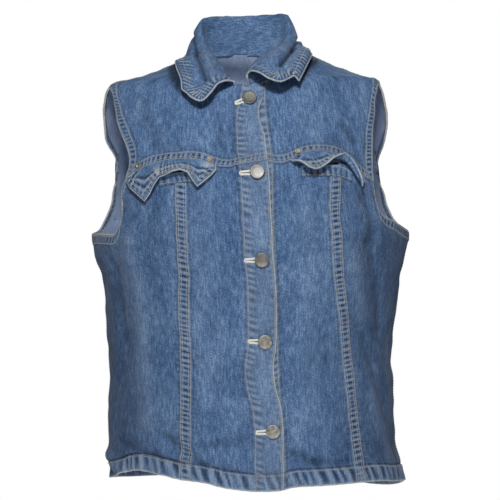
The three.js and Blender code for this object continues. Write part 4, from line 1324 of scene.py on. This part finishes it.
def collar_wall():
    def neck_seam(rows, back_from):
        front = front_seam(rows, "collar end", "shoulder")
        back = back_seam(BACK_NECK)
        return chain(front, lambda share: back(mix(back_from, 0.5, share)), 0.5)

    right = leaf_columns(RIGHT_LEAF, RIGHT_LEAF_FRONT, neck_seam(RIGHT_NECK, 1), overlap_off)
    left = leaf_columns(LEFT_LEAF, LEFT_LEAF_FRONT, neck_seam(LEFT_NECK, 0), flat_off)
    columns = np.concatenate([right, left[:-1][::-1]])
    middle = np.stack([resampled(column) for column in columns], 1)
    normal = grid_normals(middle)
    past_roll = np.arange(len(middle))[:, None] > middle[..., 2].argmax(0)
    shade = np.zeros(middle.shape[:2])
    for x0, z0, x1, z1, width, depth in LEAF_CREASES:
        start, run = np.array([x0, z0]), np.array([x1 - x0, z1 - z0])
        flat = middle[..., [0, 2]] - start
        share = np.clip((flat @ run) / (run @ run), 0, 1)
        gap = np.linalg.norm(flat - share[..., None] * run, axis=-1)
        shade += depth * bell(gap, width) * past_roll
    middle = middle + normal * shade[..., None]
    # The sewn edge runs up the front end of one leaf, round the outside and down the other end
    edge = np.concatenate([middle[:, 0], middle[-1], middle[:, -1][::-1]])
    wall = curled_wall(middle, COLLAR_CLOTH, edge, CURLS["collar"], 2.0, foot_roll=FOOT_ROLL)
    # Painted shade in the hollows of the creases, and painted highlight on their ridges
    wall.dark = np.maximum(wall.dark, 0.9 * smooth_step(-shade / 4))
    wall.pale = np.maximum(wall.pale, RIDGE_HIGHLIGHT * smooth_step(shade / 2))
    return wall


def flap_wall(stations, seed):
    """A pocket flap sewn in under the yoke and curled away from the front, with folded creases."""
    x_at = stations[:, 0]
    x = np.unique(np.concatenate([np.linspace(x_at[0], x_at[-1], 126), x_at]))
    belly_z, belly_off = (smooth_column(x_at, stations[:, k])(x) for k in (1, 2))
    edge_x, edge_z, edge_off = (np.interp(x, x_at, stations[:, k]) for k in (3, 4, 5))
    seam = np.array([(row[0], row[1]) for row in YOKE_SEAM], float)
    seam_z = smooth_column(seam[:, 0], seam[:, 1])(x)
    seam_off = CLOTH + 0.2
    v = np.concatenate([np.linspace(0, 0.84, 30), [0.88, 0.92, 0.96, 1.0]])[:, None]
    near, belly, far = (1 - v) ** 2, 2 * v * (1 - v), v * v
    flat_x = near * x + belly * (x + edge_x) / 2 + far * edge_x
    flat_z = near * seam_z + belly * belly_z + far * edge_z
    off = near * seam_off + belly * belly_off + far * edge_off
    middle = cloth(front_turn(flat_x, flat_z), flat_z, off)[::-1]
    edge = np.concatenate([middle[::-1, 0], middle[0], middle[:, -1]])
    crease = sum(
        relief * bell(v - at - 0.03 * np.sin(x / 9), width) for at, relief, width in FLAP_CREASES
    )
    from_ends = np.minimum(x - x[0], x[-1] - x)
    crease = (crease * smooth_step(from_ends / 16) * smooth_step((1 - v) * 4))[::-1]
    return curled_wall(middle, FLAP_CLOTH, edge, CURLS["flap"], seed, crease)


def mouth_wall(stations, seed):
    """The turned upper edge of a pocket, laid on the front."""
    x = np.linspace(stations[0, 0], stations[-1, 0], 44)
    top_z, top_off, foot_z, foot_off = (
        smooth_column(stations[:, 0], stations[:, k])(x) for k in range(1, 5)
    )
    v = np.linspace(0, 1, 9)[:, None]
    z = mix(foot_z, top_z, v)
    off = mix(foot_off - 0.9, top_off, v * v)
    turn = front_turn(x + 0 * z, z)
    base = cloth(turn, z, off)
    away = outward(turn, z)
    wave = uneven_wave(x + 0.2 * z, MOUTH_PITCH, seed)
    pucker = MOUTH_PUCKER * wave * smooth_step(v * 4) * smooth_step((1 - v) * 4)
    wall = Wall(base + away * (MOUTH_CLOTH + pucker)[..., None], base, np.stack([x + 0 * z, z], -1))
    wall.pale = np.maximum(0.7 * bell((1 - v) * MOUTH_DEPTH, 1.6), 0.5 * smooth_step(wave))
    wall.dark = np.maximum(0.8 * smooth_step(-wave * 1.4), 0.8 * bell(v * MOUTH_DEPTH, 1.0))
    return wall


# Colours and materials


def from_hex(code):
    """The linear colour of an sRGB hex value."""
    values = [int(code[k : k + 2], 16) / 255 for k in (0, 2, 4)]
    linear = [v / 12.92 if v <= 0.04045 else ((v + 0.055) / 1.055) ** 2.4 for v in values]
    return (*linear, 1.0)


def add_node(tree, kind, inputs=None, stops=(), **settings):
    """Adds a node with its settings, the sRGB hex stops of its colour ramp and its inputs. An input
    is a value, an output, or a node whose first output is linked."""
    node = tree.nodes.new(kind)
    for name, value in settings.items():
        setattr(node, name, value)
    for place, _ in stops[1:-1]:
        node.color_ramp.elements.new(place)
    for k, (_, code) in enumerate(stops):
        node.color_ramp.elements[k].color = from_hex(code)
    for socket, value in (inputs or {}).items():
        if isinstance(value, bpy.types.Node):
            value = value.outputs[0]
        if isinstance(value, bpy.types.NodeSocket):
            tree.links.new(value, node.inputs[socket])
        else:
            node.inputs[socket].default_value = value
    return node


def new_material(name):
    material = bpy.data.materials.new(name)
    material.use_nodes = True
    tree = material.node_tree
    tree.nodes.clear()
    return material, tree


def surface_of(material, inputs):
    """Gives a material its shader with the given inputs."""
    tree = material.node_tree
    shader = add_node(tree, "ShaderNodeBsdfPrincipled", inputs)
    add_node(tree, "ShaderNodeOutputMaterial", {0: shader})
    return material


# Patterns of the denim: how fine they are across and up the cloth, for each metre, their detail and
# their lean in radians
DENIM_PATTERNS = [
    # Slubs: uneven warp threads of the real 0.5 mm, drawn 2 mm wide and 12 mm long so that they show
    (520.0, 85.0, 1.0, 0.0),
    # Grain of the twill: ribs of the real 0.6 mm, drawn at 1.2 mm and leaning as a right-hand twill
    (1000.0, 520.0, 1.0, 0.35),
    # Uneven wash: clouds of 60 mm, long streaks of 16 mm by 50 mm, and spots of 6 mm
    (17.0, 10.0, 2.0, 0.0),
    (62.0, 20.0, 3.0, 0.0),
    (190.0, 110.0, 1.0, 0.0),
]


def denim_material(name, dark, base, light, pale, edge, indigo):
    """Washed indigo cotton twill. The weft and the worn warp show as fine upright streaks and a
    grainy mottle, ridges along the seams are rubbed pale, and hollows keep the dark dye. The same
    dark and pale marks also carry painted shade and painted highlights."""
    material, tree = new_material(name)
    weave = add_node(tree, "ShaderNodeUVMap", uv_map="weave")
    patterns = []
    for across, up, detail, lean in DENIM_PATTERNS:
        inputs = {0: weave, 2: (0.0, 0.0, lean), 3: (across, up, 1.0)}
        place = add_node(tree, "ShaderNodeMapping", inputs)
        inputs = {"Vector": place, "Scale": 1.0, "Detail": detail}
        patterns.append(add_node(tree, "ShaderNodeTexNoise", inputs))
    slubs, grain, clouds, streaks, spots = patterns
    threads = add_node(tree, "ShaderNodeMix", {0: 0.6, 2: slubs, 3: grain})
    small = add_node(tree, "ShaderNodeMix", {0: 0.2, 2: threads, 3: spots})
    fine = add_node(tree, "ShaderNodeMapRange", {0: small, 1: 0.37, 2: 0.63, 3: 0.0, 4: 1.0})
    large = add_node(tree, "ShaderNodeMix", {0: 0.55, 2: clouds, 3: streaks})
    broad = add_node(tree, "ShaderNodeMapRange", {0: large, 1: 0.33, 2: 0.67, 3: 0.0, 4: 1.0})
    wash = add_node(tree, "ShaderNodeMix", {0: 0.38, 2: fine, 3: broad})
    stops = [(0, dark), (0.5, base), (1, light)]
    dyed = add_node(tree, "ShaderNodeValToRGB", {0: wash}, stops)

    # Marked places take the deep indigo: kept dye in pucker hollows, and painted shade in folds,
    # creases, grooves, below the collar and towards the sides. Ridges are rubbed in broken patches,
    # with painted highlights on fold and crease ridges, and turned edges are bare weft
    dark_mark = add_node(tree, "ShaderNodeAttribute", attribute_name="dark").outputs["Fac"]
    pale_mark = add_node(tree, "ShaderNodeAttribute", attribute_name="pale").outputs["Fac"]
    times = dict(operation="MULTIPLY", use_clamp=True)
    # The dark mark is partly kept dye and partly painted shade
    kept = add_node(tree, "ShaderNodeMath", {0: dark_mark, 1: 0.85}, **times)
    inputs = {0: kept, 6: dyed, 7: from_hex(indigo)}
    hollows = add_node(tree, "ShaderNodeMix", inputs, data_type="RGBA").outputs[2]
    broken = add_node(tree, "ShaderNodeMapRange", {0: threads, 1: 0.3, 2: 0.62, 3: 0.55, 4: 1.25})
    rubbed = add_node(tree, "ShaderNodeMath", {0: pale_mark, 1: broken}, **times)
    stops = [(0, pale), (0.7, pale), (1, edge)]
    worn = add_node(tree, "ShaderNodeValToRGB", {0: pale_mark}, stops)
    inputs = {0: rubbed, 6: hollows, 7: worn}
    colour = add_node(tree, "ShaderNodeMix", inputs, data_type="RGBA").outputs[2]

    relief = add_node(tree, "ShaderNodeBump", {"Strength": 0.6, "Distance": 0.0005, "Height": threads})
    inputs = {"Strength": 0.6, "Distance": 0.0012, "Height": spots, "Normal": relief}
    crumple = add_node(tree, "ShaderNodeBump", inputs)
    return surface_of(material, {
        "Base Color": colour,
        "Normal": crumple,
        "Roughness": 0.92,
        "Specular IOR Level": 0.2,
        "Sheen Weight": 0.06,
    })


def thread_material(name, base, shade):
    """Spun cotton-wrapped topstitch thread: matt, slightly uneven and greyed by the wash."""
    material, tree = new_material(name)
    place = add_node(tree, "ShaderNodeTexCoord").outputs["Object"]
    fibres = add_node(tree, "ShaderNodeTexNoise", {"Vector": place, "Scale": 420.0, "Detail": 2.0})
    inputs = {0: fibres, 6: from_hex(shade), 7: from_hex(base)}
    colour = add_node(tree, "ShaderNodeMix", inputs, data_type="RGBA").outputs[2]
    bump = add_node(tree, "ShaderNodeBump", {"Strength": 0.5, "Distance": 0.0003, "Height": fibres})
    return surface_of(material, {"Base Color": colour, "Normal": bump, "Roughness": 0.8})


def metal_material(name, base, shade, roughness, pits):
    """Plated and tumbled metal: satin, with small dents and a darker tone where the plate is thin."""
    material, tree = new_material(name)
    place = add_node(tree, "ShaderNodeTexCoord").outputs["Object"]
    cloudy = add_node(tree, "ShaderNodeTexNoise", {"Vector": place, "Scale": 260.0, "Detail": 3.0})
    dents = add_node(tree, "ShaderNodeTexNoise", {"Vector": place, "Scale": pits, "Detail": 1.0})
    tone = add_node(tree, "ShaderNodeMapRange", {0: cloudy, 1: 0.35, 2: 0.65, 3: 0.0, 4: 1.0})
    inputs = {0: tone, 6: from_hex(shade), 7: from_hex(base)}
    colour = add_node(tree, "ShaderNodeMix", inputs, data_type="RGBA").outputs[2]
    inputs = {0: cloudy, 1: 0.3, 2: 0.7, 3: roughness - 0.06, 4: roughness + 0.1}
    satin = add_node(tree, "ShaderNodeMapRange", inputs)
    bump = add_node(tree, "ShaderNodeBump", {"Strength": 0.4, "Distance": 0.00015, "Height": dents})
    inputs = {"Base Color": colour, "Roughness": satin, "Normal": bump, "Metallic": 1.0}
    return surface_of(material, inputs)


def paper_material(name, shade, glow):
    """Matt white photo paper, lit evenly so that it reads as plain white."""
    material, tree = new_material(name)
    place = add_node(tree, "ShaderNodeTexCoord").outputs["Object"]
    tooth = add_node(tree, "ShaderNodeTexNoise", {"Vector": place, "Scale": 90.0})
    bump = add_node(tree, "ShaderNodeBump", {"Strength": 0.05, "Distance": 0.0002, "Height": tooth})
    return surface_of(material, {
        "Normal": bump,
        "Base Color": from_hex(shade),
        "Roughness": 1.0,
        "Emission Color": from_hex(shade),
        "Emission Strength": glow,
    })


# The last colour of each denim is its deepest indigo, used both for kept dye and for painted shade
DENIM = denim_material("washed_denim", "243b60", "517099", "8ea7c8", "9aacc1", "b5b7b4", "101a31")
COLLAR_DENIM = denim_material(
    "collar_denim", "2b4166", "5979a2", "93abc9", "acbac9", "bcbdb9", "0f172c"
)
INSIDE = denim_material("denim_inside", "7e93b6", "9fb3d1", "bccade", "b9c2ce", "b3b5b2", "4b5c7e")
THREAD_GREY = thread_material("topstitch_thread", "b9b4a9", "8f8f92")
THREAD_WHITE = thread_material("buttonhole_thread", "f4f2ea", "dcd9cf")
# Copies of one nickel toned to how each button catches the light: the dark copy is painted shade, the
# dimmer copy is painted down against a bright reflection
NICKEL = metal_material("tumbled_nickel", "c0beb8", "918e88", 0.5, 300.0)
NICKEL_PAINTED_DARK = metal_material("nickel_painted_dark", "7c7a75", "5b5956", 0.55, 300.0)
NICKEL_PAINTED_DIMMER = metal_material("nickel_painted_dimmer", "9d9c98", "807e79", 0.52, 300.0)
BRASS = metal_material("worn_brass", "bfb9a8", "847d6a", 0.5, 400.0)
PAPER = paper_material("photo_paper", "ffffff", 0.15)


# Pieces


def finish_piece(piece, materials, slot, *nodes):
    for material in materials:
        piece.data.materials.append(material)
    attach(piece, "root")
    if nodes:
        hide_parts(*nodes)
    return piece


pieces = {}


def add_cloth(name, wall, free, lines, node, outside=DENIM, lining=INSIDE):
    """A cloth piece in place of a node of the solids, and its topstitching."""
    cloth_piece = wall_object(f"denim_{name}", wall, free)
    pieces[name] = finish_piece(cloth_piece, [outside, lining], "denim", node)
    stitches = mesh_object(f"stitches_{name}", *thread_mesh(lines))
    pieces[f"{name}_stitches"] = finish_piece(stitches, [THREAD_GREY], "denim")


# Shares of an edge where a shoulder, a neck, an underarm or the yoke's end meets it
RIGHT_SHOULDER_SHARE, RIGHT_NECK_SHARE, LEFT_NECK_SHARE = 0.42, 0.68, 0.52
RIGHT_YOKE_END, LEFT_YOKE_END = 0.62, 0.36
BACK_SHOULDER, BACK_UNDERARM = 0.3, 0.58

# Each panel: its four edges, its bands, and the stitch lines and free edges that belong to no band
PANELS = {
    "yoke_right": dict(
        edges=dict(
            bottom=front_seam(YOKE_SEAM, "right armhole", "right edge"),
            top=chain(
                chain(
                    upright(-90, RIGHT_TIP_Z, RIGHT_NECK_Z),
                    front_seam(RIGHT_NECK, "shoulder", "collar end"),
                    RIGHT_SHOULDER_SHARE / RIGHT_NECK_SHARE,
                ),
                front_seam(RIGHT_NECK_CORNER, "collar end", "neck"),
                RIGHT_NECK_SHARE,
            ),
            start=front_seam(RIGHT_ARMHOLE, "yoke", "shoulder"),
            end=front_seam(RIGHT_EDGE, "yoke", "neck"),
        ),
        bands=[
            ("start", "armhole", 0, 1),
            ("foot", "yoke", 0, 1),
            ("end", "front", 0, 1),
            ("head", "shoulder", 0, RIGHT_SHOULDER_SHARE),
        ],
        lift=overlap_off,
        stops_across=(RIGHT_SHOULDER_SHARE,),
        lines=[("head", 2.0, 0.72, 1)],
        free=[("head", RIGHT_SHOULDER_SHARE, 1)],
        seed=0.4,
    ),
    "yoke_left": dict(
        edges=dict(
            bottom=front_seam(YOKE_SEAM, "left edge", "left armhole"),
            top=chain(
                front_seam(LEFT_NECK, "neck", "shoulder"),
                upright(90, LEFT_NECK_Z, LEFT_TIP_Z),
                LEFT_NECK_SHARE,
            ),
            start=front_seam(LEFT_EDGE, "yoke", "neck"),
            end=front_seam(LEFT_ARMHOLE, "yoke", "shoulder"),
        ),
        bands=[
            ("start", "hidden front", 0, 1),
            ("foot", "yoke", 0, 1),
            ("end", "armhole", 0, 1),
            ("head", "shoulder", LEFT_NECK_SHARE, 1),
        ],
        stops_across=(LEFT_NECK_SHARE,),
        lines=[("head", 2.4, 0.12, LEFT_NECK_SHARE)],
        free=[("head", 0, LEFT_NECK_SHARE)],
        seed=3.1,
    ),
    "centre_front_right": dict(
        edges=dict(
            bottom=front_seam(HEM, "right princess", "right edge"),
            top=front_seam(YOKE_SEAM, "right princess", "right edge"),
            start=front_seam(RIGHT_PRINCESS, "hem", "yoke"),
            end=front_seam(RIGHT_EDGE, "hem", "yoke"),
        ),
        bands=[
            ("start", "princess", 0, 1),
            ("foot", "hem", 0, 1),
            ("end", "front", 0, 1),
            ("head", "plain", 0, 1),
        ],
        lift=overlap_off,
        seed=1.3,
    ),
    "centre_front_left": dict(
        edges=dict(
            bottom=front_seam(HEM, "left edge", "left princess"),
            top=front_seam(YOKE_SEAM, "left edge", "left princess"),
            start=front_seam(LEFT_EDGE, "hem", "yoke"),
            end=front_seam(LEFT_PRINCESS, "hem", "yoke"),
        ),
        bands=[
            ("start", "hidden front", 0, 1),
            ("foot", "hem", 0, 1),
            ("end", "princess", 0, 1),
            ("head", "plain", 0, 1),
        ],
        seed=2.2,
    ),
    "side_front_right": dict(
        edges=dict(
            bottom=front_seam(HEM, "right side", "right princess"),
            top=chain(
                front_seam(RIGHT_ARMHOLE, "side", "yoke"),
                front_seam(YOKE_SEAM, "right armhole", "right princess"),
                RIGHT_YOKE_END,
            ),
            start=upright(-90, RIGHT_SIDE_HEM_Z, RIGHT_UNDERARM_Z),
            end=front_seam(RIGHT_PRINCESS, "hem", "yoke"),
        ),
        bands=[
            ("foot", "hem", 0, 1),
            ("head", "armhole", 0, RIGHT_YOKE_END),
            ("head", "plain", RIGHT_YOKE_END, 1),
            ("end", "plain", 0, 1),
        ],
        stops_across=(RIGHT_YOKE_END,),
        lines=[("start", 2.0)],
        seed=4.0,
    ),
    "side_front_left": dict(
        edges=dict(
            bottom=front_seam(HEM, "left princess", "left side"),
            top=chain(
                front_seam(YOKE_SEAM, "left princess", "left armhole"),
                front_seam(LEFT_ARMHOLE, "yoke", "side"),
                LEFT_YOKE_END,
            ),
            start=front_seam(LEFT_PRINCESS, "hem", "yoke"),
            end=upright(90, LEFT_SIDE_HEM_Z, LEFT_UNDERARM_Z),
        ),
        bands=[
            ("foot", "hem", 0, 1),
            ("head", "armhole", LEFT_YOKE_END, 1),
            ("head", "plain", 0, LEFT_YOKE_END),
            ("start", "plain", 0, 1),
        ],
        stops_across=(LEFT_YOKE_END,),
        lines=[("end", 2.0)],
        seed=5.2,
    ),
    "back": dict(
        edges=dict(
            bottom=back_seam(BACK_HEM),
            top=chain(
                upright(90, LEFT_TIP_Z, LEFT_NECK_Z),
                chain(
                    back_seam(BACK_NECK),
                    upright(270, RIGHT_NECK_Z, RIGHT_TIP_Z),
                    (1 - 2 * BACK_SHOULDER) / (1 - BACK_SHOULDER),
                ),
                BACK_SHOULDER,
            ),
            start=chain(
                upright(90, LEFT_SIDE_HEM_Z, LEFT_UNDERARM_Z),
                back_seam(BACK_LEFT_ARMHOLE),
                BACK_UNDERARM,
            ),
            end=chain(
                upright(270, RIGHT_SIDE_HEM_Z, RIGHT_UNDERARM_Z),
                back_seam(BACK_RIGHT_ARMHOLE),
                BACK_UNDERARM,
            ),
        ),
        bands=[
            ("foot", "hem", 0, 1),
            ("start", "armhole", BACK_UNDERARM, 1),
            ("end", "armhole", BACK_UNDERARM, 1),
            ("start", "plain", 0, BACK_UNDERARM),
            ("end", "plain", 0, BACK_UNDERARM),
        ],
        cell=BACK_CELL,
        stops_across=(BACK_SHOULDER, 1 - BACK_SHOULDER),
        stops_up=(BACK_UNDERARM,),
        lines=[
            (side, BANDS["armhole"]["width"] - 1, BACK_UNDERARM, 1, True) for side in ("start", "end")
        ],
        seed=6.1,
    ),
}
for node, made in PANELS.items():
    wall, lines, free = panel(**made)
    add_cloth(node, wall, free, lines, node)

ALL_SIDES = [(side, 0, 1) for side in ("foot", "end", "head", "start")]
# The curled pieces: node, wall, free edges, how far in they are stitched, and the corners of the
# small stitched box on a flap, as shares of its width and height
CURLED = [
    ("collar", collar_wall(), ALL_SIDES[1:], (CURLS["collar"]["reach"],), None),
    (
        "flap_right",
        flap_wall(RIGHT_FLAP, 1.0),
        ALL_SIDES,
        (FLAP_EDGE_STITCH, CURLS["flap"]["reach"]),
        [(0.61, 0.1), (0.61, 0.46), (0.74, 0.46), (0.74, 0.1)],
    ),
    (
        "flap_left",
        flap_wall(LEFT_FLAP, 2.6),
        ALL_SIDES,
        (FLAP_EDGE_STITCH, CURLS["flap"]["reach"]),
        [(0.51, 0.1), (0.51, 0.5), (0.62, 0.5), (0.62, 0.1)],
    ),
]
for node, wall, free, levels, box in CURLED:
    lines = [line for level in levels for line in level_lines(wall, level)]
    if box:
        lines.append(grid_line(wall, box))
    add_cloth(node, wall, free, lines, node, COLLAR_DENIM, COLLAR_DENIM)

for side, stations, seed in (("right", RIGHT_MOUTH, 0.6), ("left", LEFT_MOUTH, 1.9)):
    wall = mouth_wall(stations, seed)
    add_cloth(f"mouth_{side}", wall, ALL_SIDES, [wall.line("foot", 1.2)], f"pocket_mouth_{side}")


# Buttons, rivets and buttonholes


def turned_piece(name, outline):
    """A round metal part, drawn out ring by ring from a disc and then rounded."""
    height, radius = outline[0]
    bpy.ops.mesh.primitive_circle_add(
        vertices=TURNED_SIDES, radius=radius * MM, fill_type="NGON", location=(0, 0, 0)
    )
    piece = bpy.context.object
    piece.name = name
    bpy.ops.object.mode_set(mode="EDIT")
    bpy.ops.mesh.select_all(action="SELECT")
    bpy.ops.transform.translate(value=(0, 0, height * MM))
    for next_height, next_radius in outline[1:]:
        bpy.ops.mesh.extrude_region_move(
            TRANSFORM_OT_translate={"value": (0, 0, (next_height - height) * MM)}
        )
        share = next_radius / radius
        bpy.ops.transform.resize(value=(share, share, 1))
        height, radius = next_height, next_radius
    bpy.ops.mesh.select_all(action="SELECT")
    bpy.ops.mesh.normals_make_consistent(inside=False)
    bpy.ops.object.mode_set(mode="OBJECT")
    bpy.ops.object.shade_smooth_by_angle(angle=np.radians(50))
    bpy.ops.object.select_all(action="DESELECT")
    return piece


def seated(x, z):
    """The place on the cloth at x and z, turned so that its own z points out of the cloth."""
    turn = front_turn(x, z)
    origin = Vector(cloth(turn, np.array(float(z)), 0.0) * MM)
    away = Vector(outward(turn, np.array(float(z))))
    return Matrix.Translation(origin) @ away.to_track_quat("Z", "Y").to_matrix().to_4x4()


def seat_copy(model, name, x, z, material, slot, node):
    piece = model.copy()
    piece.data = model.data.copy()
    piece.name = name
    bpy.context.scene.collection.objects.link(piece)
    piece.data.transform(seated(x, z))
    return finish_piece(piece, [material], slot, node)


button_model = turned_piece("button_model", BUTTON_OUTLINE)
# Button 1 takes the copy painted dark as shade, buttons 2 and 3 the copy painted dimmer against their
# reflection
BUTTON_METALS = [NICKEL_PAINTED_DARK, NICKEL_PAINTED_DIMMER, NICKEL_PAINTED_DIMMER, NICKEL, NICKEL]
for k, ((x, z, _, _), metal) in enumerate(zip(BUTTONS, BUTTON_METALS), 1):
    seat_copy(button_model, f"tack_button_{k}", x, z, metal, "nickel", f"button_{k}")
rivet_model = turned_piece("rivet_model", RIVET_OUTLINE)
for k, (x, z) in enumerate(RIVETS, 1):
    seat_copy(rivet_model, f"pocket_rivet_{k}", x, z, BRASS, "rivet_brass", f"rivet_{k}")
for model in (button_model, rivet_model):
    bpy.data.objects.remove(model)


def front_face(x, z):
    """The outer face of the right front's band, with its normal."""
    turn = front_turn(x, z)
    spot = cloth(turn, z, overlap_off(turn, z) + CLOTH + RAISED)
    return np.concatenate([spot, outward(turn, z)], -1)


def buttonhole_bars(x, z, far_x, far_z):
    """Satin stitches along both lips of a keyhole, round its eyelet and round its far end."""
    centre = np.array([x, z])
    along = np.array([far_x - x, far_z - z], float)
    length = np.linalg.norm(along)
    along /= length
    across = np.array([-along[1], along[0]])
    spots = []

    def add_bar(place, out, gap):
        root = centre + along * place
        spots.append((root + out * gap, root + out * (gap + LIP_WIDTH)))

    for place in np.arange(EYELET_RADIUS, length, SATIN_PITCH):
        for side in (-1, 1):
            add_bar(place, side * across, 0.1 + LIP_OPENING * (1 - place / length) ** 1.5)
    for angle in np.radians(np.linspace(-84, 84, 9)):
        add_bar(length, along * np.cos(angle) + across * np.sin(angle), 0.1)
    for angle in np.radians(np.arange(40, 321, 14)):
        out = along * np.cos(angle) + across * np.sin(angle)
        spots.append((centre + out * EYELET_RADIUS, centre + out * (EYELET_RADIUS + EYELET_LIP)))
    return [
        tuple(front_face(np.array(spot[0]), np.array(spot[1])) for spot in pair) for pair in spots
    ]


def cut_keyhole(panel, x, z, far_x, far_z):
    """Cuts a round eyelet and its slit through a panel, square to the cloth."""
    place = seated(x, z)
    along = seated(far_x, far_z).translation - place.translation
    length = along.length
    away = place.to_3x3() @ Vector((0, 0, 1))
    along = (along - away * along.dot(away)).normalized()
    turn = Matrix((along, away.cross(along), away)).transposed().to_4x4()
    frame_of_hole = Matrix.Translation(place.translation) @ turn
    bpy.ops.mesh.primitive_cylinder_add(vertices=24, radius=EYELET_RADIUS * MM, depth=CUTTER_DEPTH)
    eyelet = bpy.context.object
    bpy.ops.mesh.primitive_cube_add(size=1)
    slit = bpy.context.object
    slit.data.transform(Matrix.Diagonal((length, SLIT_WIDTH * MM, CUTTER_DEPTH, 1)))
    slit.data.transform(Matrix.Translation((length / 2, 0, 0)))
    for cutter in (eyelet, slit):
        cutter.data.transform(frame_of_hole)
        hole = panel.modifiers.new("hole", "BOOLEAN")
        hole.operation = "DIFFERENCE"
        hole.solver = "EXACT"
        hole.object = cutter
        bpy.context.view_layer.objects.active = panel
        bpy.ops.object.modifier_apply(modifier=hole.name)
        bpy.data.objects.remove(cutter)
    bpy.ops.object.select_all(action="DESELECT")


cut_keyhole(pieces["yoke_right"], *BUTTONS[0])
for hole in BUTTONS[1:]:
    cut_keyhole(pieces["centre_front_right"], *hole)

bars = [bar for hole in BUTTONS for bar in buttonhole_bars(*hole)]
finish_piece(mesh_object("buttonhole_stitches", *satin_mesh(bars)), [THREAD_WHITE], "denim")


# Camera and light

# In metres, with the sensor and the lens in millimetres
VIEW_X, VIEW_Z, VIEW_DISTANCE = 0.0072, -0.230, 2.4
SENSOR_WIDTH, LENS = 36, 144
LIGHT_AIM = (0, 0, -0.25)
STUDIO_LIGHT = 0.04
FLOOR_Z = -0.95
FLOOR_SIZE = 5
camera_data = bpy.data.cameras.new("camera")
camera_data.sensor_width = SENSOR_WIDTH
camera_data.lens = LENS
camera_data.clip_end = 50
camera = bpy.data.objects.new("camera", camera_data)
camera.location = (VIEW_X, -VIEW_DISTANCE, VIEW_Z)
camera.rotation_euler = (np.pi / 2, 0, 0)
bpy.context.scene.collection.objects.link(camera)
bpy.context.scene.camera = camera


def soft_light(name, place, width, height, watts):
    data = bpy.data.lights.new(name, "AREA")
    data.shape = "RECTANGLE"
    data.size = width
    data.size_y = height
    data.energy = watts
    lamp = bpy.data.objects.new(name, data)
    lamp.location = place
    lamp.rotation_euler = (Vector(LIGHT_AIM) - Vector(place)).to_track_quat("-Z", "Y").to_euler()
    bpy.context.scene.collection.objects.link(lamp)


soft_light("key", (-0.08, -2.0, 1.1), 0.45, 0.3, 41)
soft_light("fill", (0.1, -2.8, -0.1), 1.2, 1.0, 1.2)
soft_light("rear", (0.5, 2.2, 1.0), 1.0, 0.8, 22)

# A white studio: plain white behind the vest, and dimmer as light so that folds keep their shade
world = bpy.data.worlds.new("white_studio")
world.use_nodes = True
sky = world.node_tree.nodes["Background"]
sky.inputs[0].default_value = (1, 1, 1, 1)
seen = add_node(world.node_tree, "ShaderNodeLightPath").outputs["Is Camera Ray"]
inputs = {0: seen, 1: 0.0, 2: 1.0, 3: STUDIO_LIGHT, 4: 1.0}
strength = add_node(world.node_tree, "ShaderNodeMapRange", inputs)
world.node_tree.links.new(strength.outputs[0], sky.inputs[1])
bpy.context.scene.world = world
bpy.context.scene.view_settings.view_transform = "Standard"

bpy.ops.mesh.primitive_plane_add(size=1, location=(0, 0, 0))
floor = bpy.context.object
floor.name = "floor"
floor.data.transform(Matrix.Translation((0, 0, FLOOR_Z)) @ Matrix.Diagonal((FLOOR_SIZE, FLOOR_SIZE, 1, 1)))
floor.data.materials.append(PAPER)
